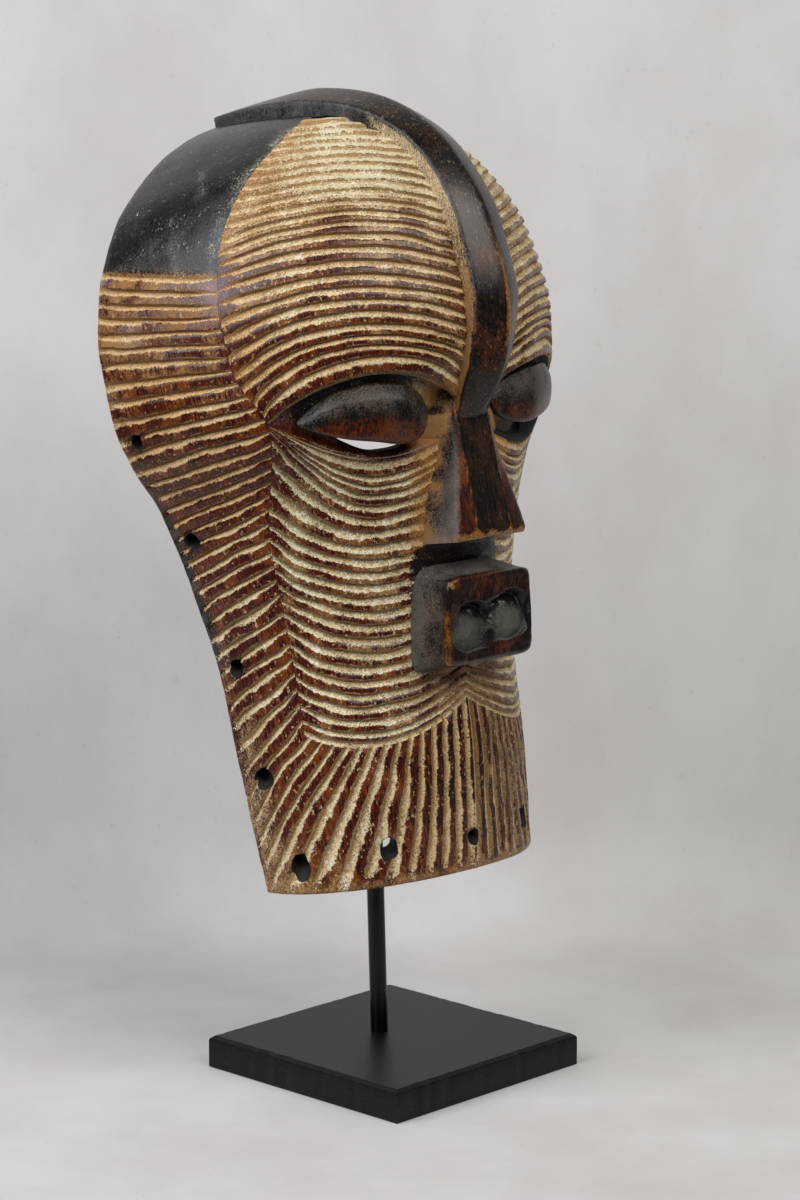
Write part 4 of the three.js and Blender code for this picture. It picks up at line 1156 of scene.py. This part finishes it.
    # The dark base colour of the filling is painted shade under the ridge above; it gives way to tan lower
    # down
    out_of_painted_shade = spread(wood, from_top, starts=-1.25, full=-0.6)
    thick = spread(wood, from_top, starts=0, full=0.85)
    most_crust = node(wood, "Math", operation="MULTIPLY", _0=white, _1=0.8)
    crust = spread(wood, fine, (crumbs, 0.8), (patches, 0.5), starts=0.56, full=0.68, most=most_crust)
    bare = spread(wood, fine, (crumbs, -0.9), (patches, 0.7), starts=0.46, full=0.34, most=0.75)
    filling = layered(wood, "#3f2712", (out_of_painted_shade, tan), (thick, cream), (crust, "#efe9d8"), (bare, "#75552c"))

    # Satin wood and matt, crumbly filling
    matt = node(wood, "Math", operation="MAXIMUM", _0=filled, _1=smeared)
    matt = node(wood, "Math", operation="MAXIMUM", _0=matt, _1=dust_and_sheen_share)
    roughness = uneven(wood, spread(wood, matt, starts=0, full=1, least=0.28, most=0.9), (streaks, 0.15))
    crumbly = node(wood, "Math", operation="MULTIPLY", _0=dust_and_sheen_share, _1=0.8)
    crumbly = node(wood, "Math", operation="MAXIMUM", _0=filled, _1=crumbly)
    crumbly = node(wood, "Math", operation="ADD", _0=crumbly, _1=0.15)
    crumbly = node(wood, "Math", operation="MULTIPLY", _0=fine, _1=crumbly)
    relief = node(wood, "Math", operation="MULTIPLY_ADD", _0=streaks, _1=0.35, _2=crumbly)
    bump = node(wood, "Bump", Height=relief, Strength=0.6, Distance=0.5 * MM)
    colour = layered(wood, ridges, (filled, filling))
    return finished(wood, Base_Color=colour, Roughness=roughness, Normal=bump, IOR=1.45)


def streaked_wood(name, size, low, high, roughness, relief):
    """Plain wood of two colours in streaks of the given size, with a bump as deep as relief."""
    wood = new_material(name)
    streaks = pattern(wood, size, 3, 0.65)
    colour = layered(wood, low, (spread(wood, streaks, starts=0.36, full=0.64), high))
    bump = node(wood, "Bump", Height=streaks, Strength=0.5, Distance=relief * MM)
    return finished(wood, Base_Color=colour, Roughness=roughness, Normal=bump, IOR=1.5)


def bare_wood():
    """The hollow's bare adzed wood: brown, dry and matt, streaked along the grain."""
    return streaked_wood("bare_wood_inside", (2, 2, 30), "#24160d", "#583722", 0.8, 0.6)


def painted_shade_black_wood():
    """The wood in the old holes, the eye slits and the left eye's socket: matt and near black, as painted
    shade.
    """
    return streaked_wood("painted_shade_black_wood_in_the_openings", (1.5, 1.5, 4), "#060404", "#150f0b", 0.75, 0.4)


def black_paint(name, low, high, roughness, grit):
    """Thin satin black paint with pale specks of dust, as large as grit in millimetres."""
    paint = new_material(name)
    specks = pattern(paint, (grit, grit, grit), 2, 0.6, lean=False)
    colour = layered(paint, low, (spread(paint, specks, starts=0.56, full=0.74, most=0.6), high))
    bump = node(paint, "Bump", Height=specks, Strength=0.2, Distance=0.2 * MM)
    return finished(paint, Base_Color=colour, Roughness=roughness, Normal=bump, IOR=1.36)


def plaster():
    """The plain pale floor and wall behind the mask, faintly clouded and brushed."""
    material = new_material("pale_plaster_floor_and_wall")
    clouds = pattern(material, (90, 90, 140), 5, 0.6, lean=False)
    clouds = spread(material, clouds, starts=0.25, full=0.75)
    marks = pattern(material, (5, 5, 5), 4, 0.75, lean=False)
    marks = spread(material, marks, starts=0.6, full=0.8, most=0.35)
    colour = layered(material, "#c4c2c1", (clouds, "#d2d1d0"), (marks, "#9c958c"))
    return finished(material, Base_Color=colour, Roughness=0.9, IOR=1.5)


# The studio, in metres
def towards(azimuth, elevation=0.0):
    """The direction from the mask to a place round it; azimuth 0 is straight ahead of the face."""
    turn, rise = math.radians(azimuth), math.radians(elevation)
    return Vector((math.sin(turn) * math.cos(rise), -math.cos(turn) * math.cos(rise), math.sin(rise)))


def place_camera():
    back = towards(VIEW_AZIMUTH, VIEW_ELEVATION)
    right = towards(VIEW_AZIMUTH + 90)
    turn = Matrix((right, back.cross(right), back)).transposed()
    data = bpy.data.cameras.new("camera")
    data.lens = LENS
    data.sensor_fit = "AUTO"
    data.sensor_width = 36
    data.clip_end = 50
    camera = bpy.data.objects.new("camera", data)
    camera.matrix_world = Matrix.Translation(Vector(CAMERA_PLACE) * MM) @ turn.to_4x4()
    bpy.context.scene.collection.objects.link(camera)
    bpy.context.scene.camera = camera


def soft_light(name, azimuth, elevation, distance, size, watts, colour):
    """A softbox that looks at the middle of the face, placed by its direction from there."""
    direction = towards(azimuth, elevation)
    data = bpy.data.lights.new(name, "AREA")
    data.shape = "RECTANGLE"
    data.size, data.size_y = size
    data.energy = watts
    data.color = linear(colour)[:3]
    lamp = bpy.data.objects.new(name, data)
    turn = direction.to_track_quat("Z", "Y").to_matrix().to_4x4()
    lamp.matrix_world = Matrix.Translation(Vector(FACE_MIDDLE) * MM + direction * distance) @ turn
    bpy.context.scene.collection.objects.link(lamp)


def backdrop(material):
    """A floor that turns up into a wall close behind the mask, square to the photograph's view."""
    away, right = -towards(VIEW_AZIMUTH), towards(VIEW_AZIMUTH + 90)
    half_width_of_floor, front_edge, wall = 0.6, -0.32, (0.25, 1.3)
    bend_start, bend_radius, bend_angle, bend_steps = 0.19, 0.07, 79, 12
    profile = [(front_edge, 0.0)]
    for step in range(bend_steps + 1):
        turn = math.radians(bend_angle * step / bend_steps)
        profile.append((bend_start + bend_radius * math.sin(turn), bend_radius * (1 - math.cos(turn))))
    profile.append((profile[-1][0] + wall[0], profile[-1][1] + wall[1]))
    ends = (-half_width_of_floor, half_width_of_floor)
    points = [away * d + right * end + Vector((0, 0, z)) for d, z in profile for end in ends]
    faces = [(2 * i, 2 * i + 1, 2 * i + 3, 2 * i + 2) for i in range(len(profile) - 1)]
    mesh = bpy.data.meshes.new("floor_and_wall")
    mesh.from_pydata([p[:] for p in points], [], faces)
    mesh.materials.append(material)
    mesh.shade_smooth()
    floor = bpy.data.objects.new("floor_and_wall", mesh)
    bpy.context.scene.collection.objects.link(floor)


def light_the_room():
    """A large window high on the left and a soft light above the front; colours are kept as they come."""
    bpy.context.scene.view_settings.view_transform = "Standard"
    world = bpy.data.worlds.new("dim_room")
    world.use_nodes = True
    background = world.node_tree.nodes["Background"]
    background.inputs["Color"].default_value = linear("#dfe3e8")
    background.inputs["Strength"].default_value = 0.1
    bpy.context.scene.world = world
    soft_light("window_on_the_left", -98, 38, 1.7, (1.3, 1.3), 27, "#fdfcff")
    soft_light("light_above_the_front", -4, 45, 1.8, (1.2, 1.0), 20, "#fffcf6")


place_camera()
light_the_room()
backdrop(plaster())

carved = painted_wood()
shell = mask_shell([carved, bare_wood(), painted_shade_black_wood()])
open_shell(shell)
mask_pieces = [shell, crest([carved]), nose([carved]), mouth_block([carved])]
mask_pieces += [eyelid(side, [carved]) for side in (1, -1)]
for piece in mask_pieces:
    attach(piece, "root")
    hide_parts("mask")

rod = steel_rod(black_paint("satin_black_paint_on_steel", "#010102", "#0c0e10", 0.25, 2.2))
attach(rod, "root")
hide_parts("rod")

board = base_block(black_paint("black_painted_board", "#020305", "#34383c", 0.4, 1.0))
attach(board, "root")
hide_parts("base_board")
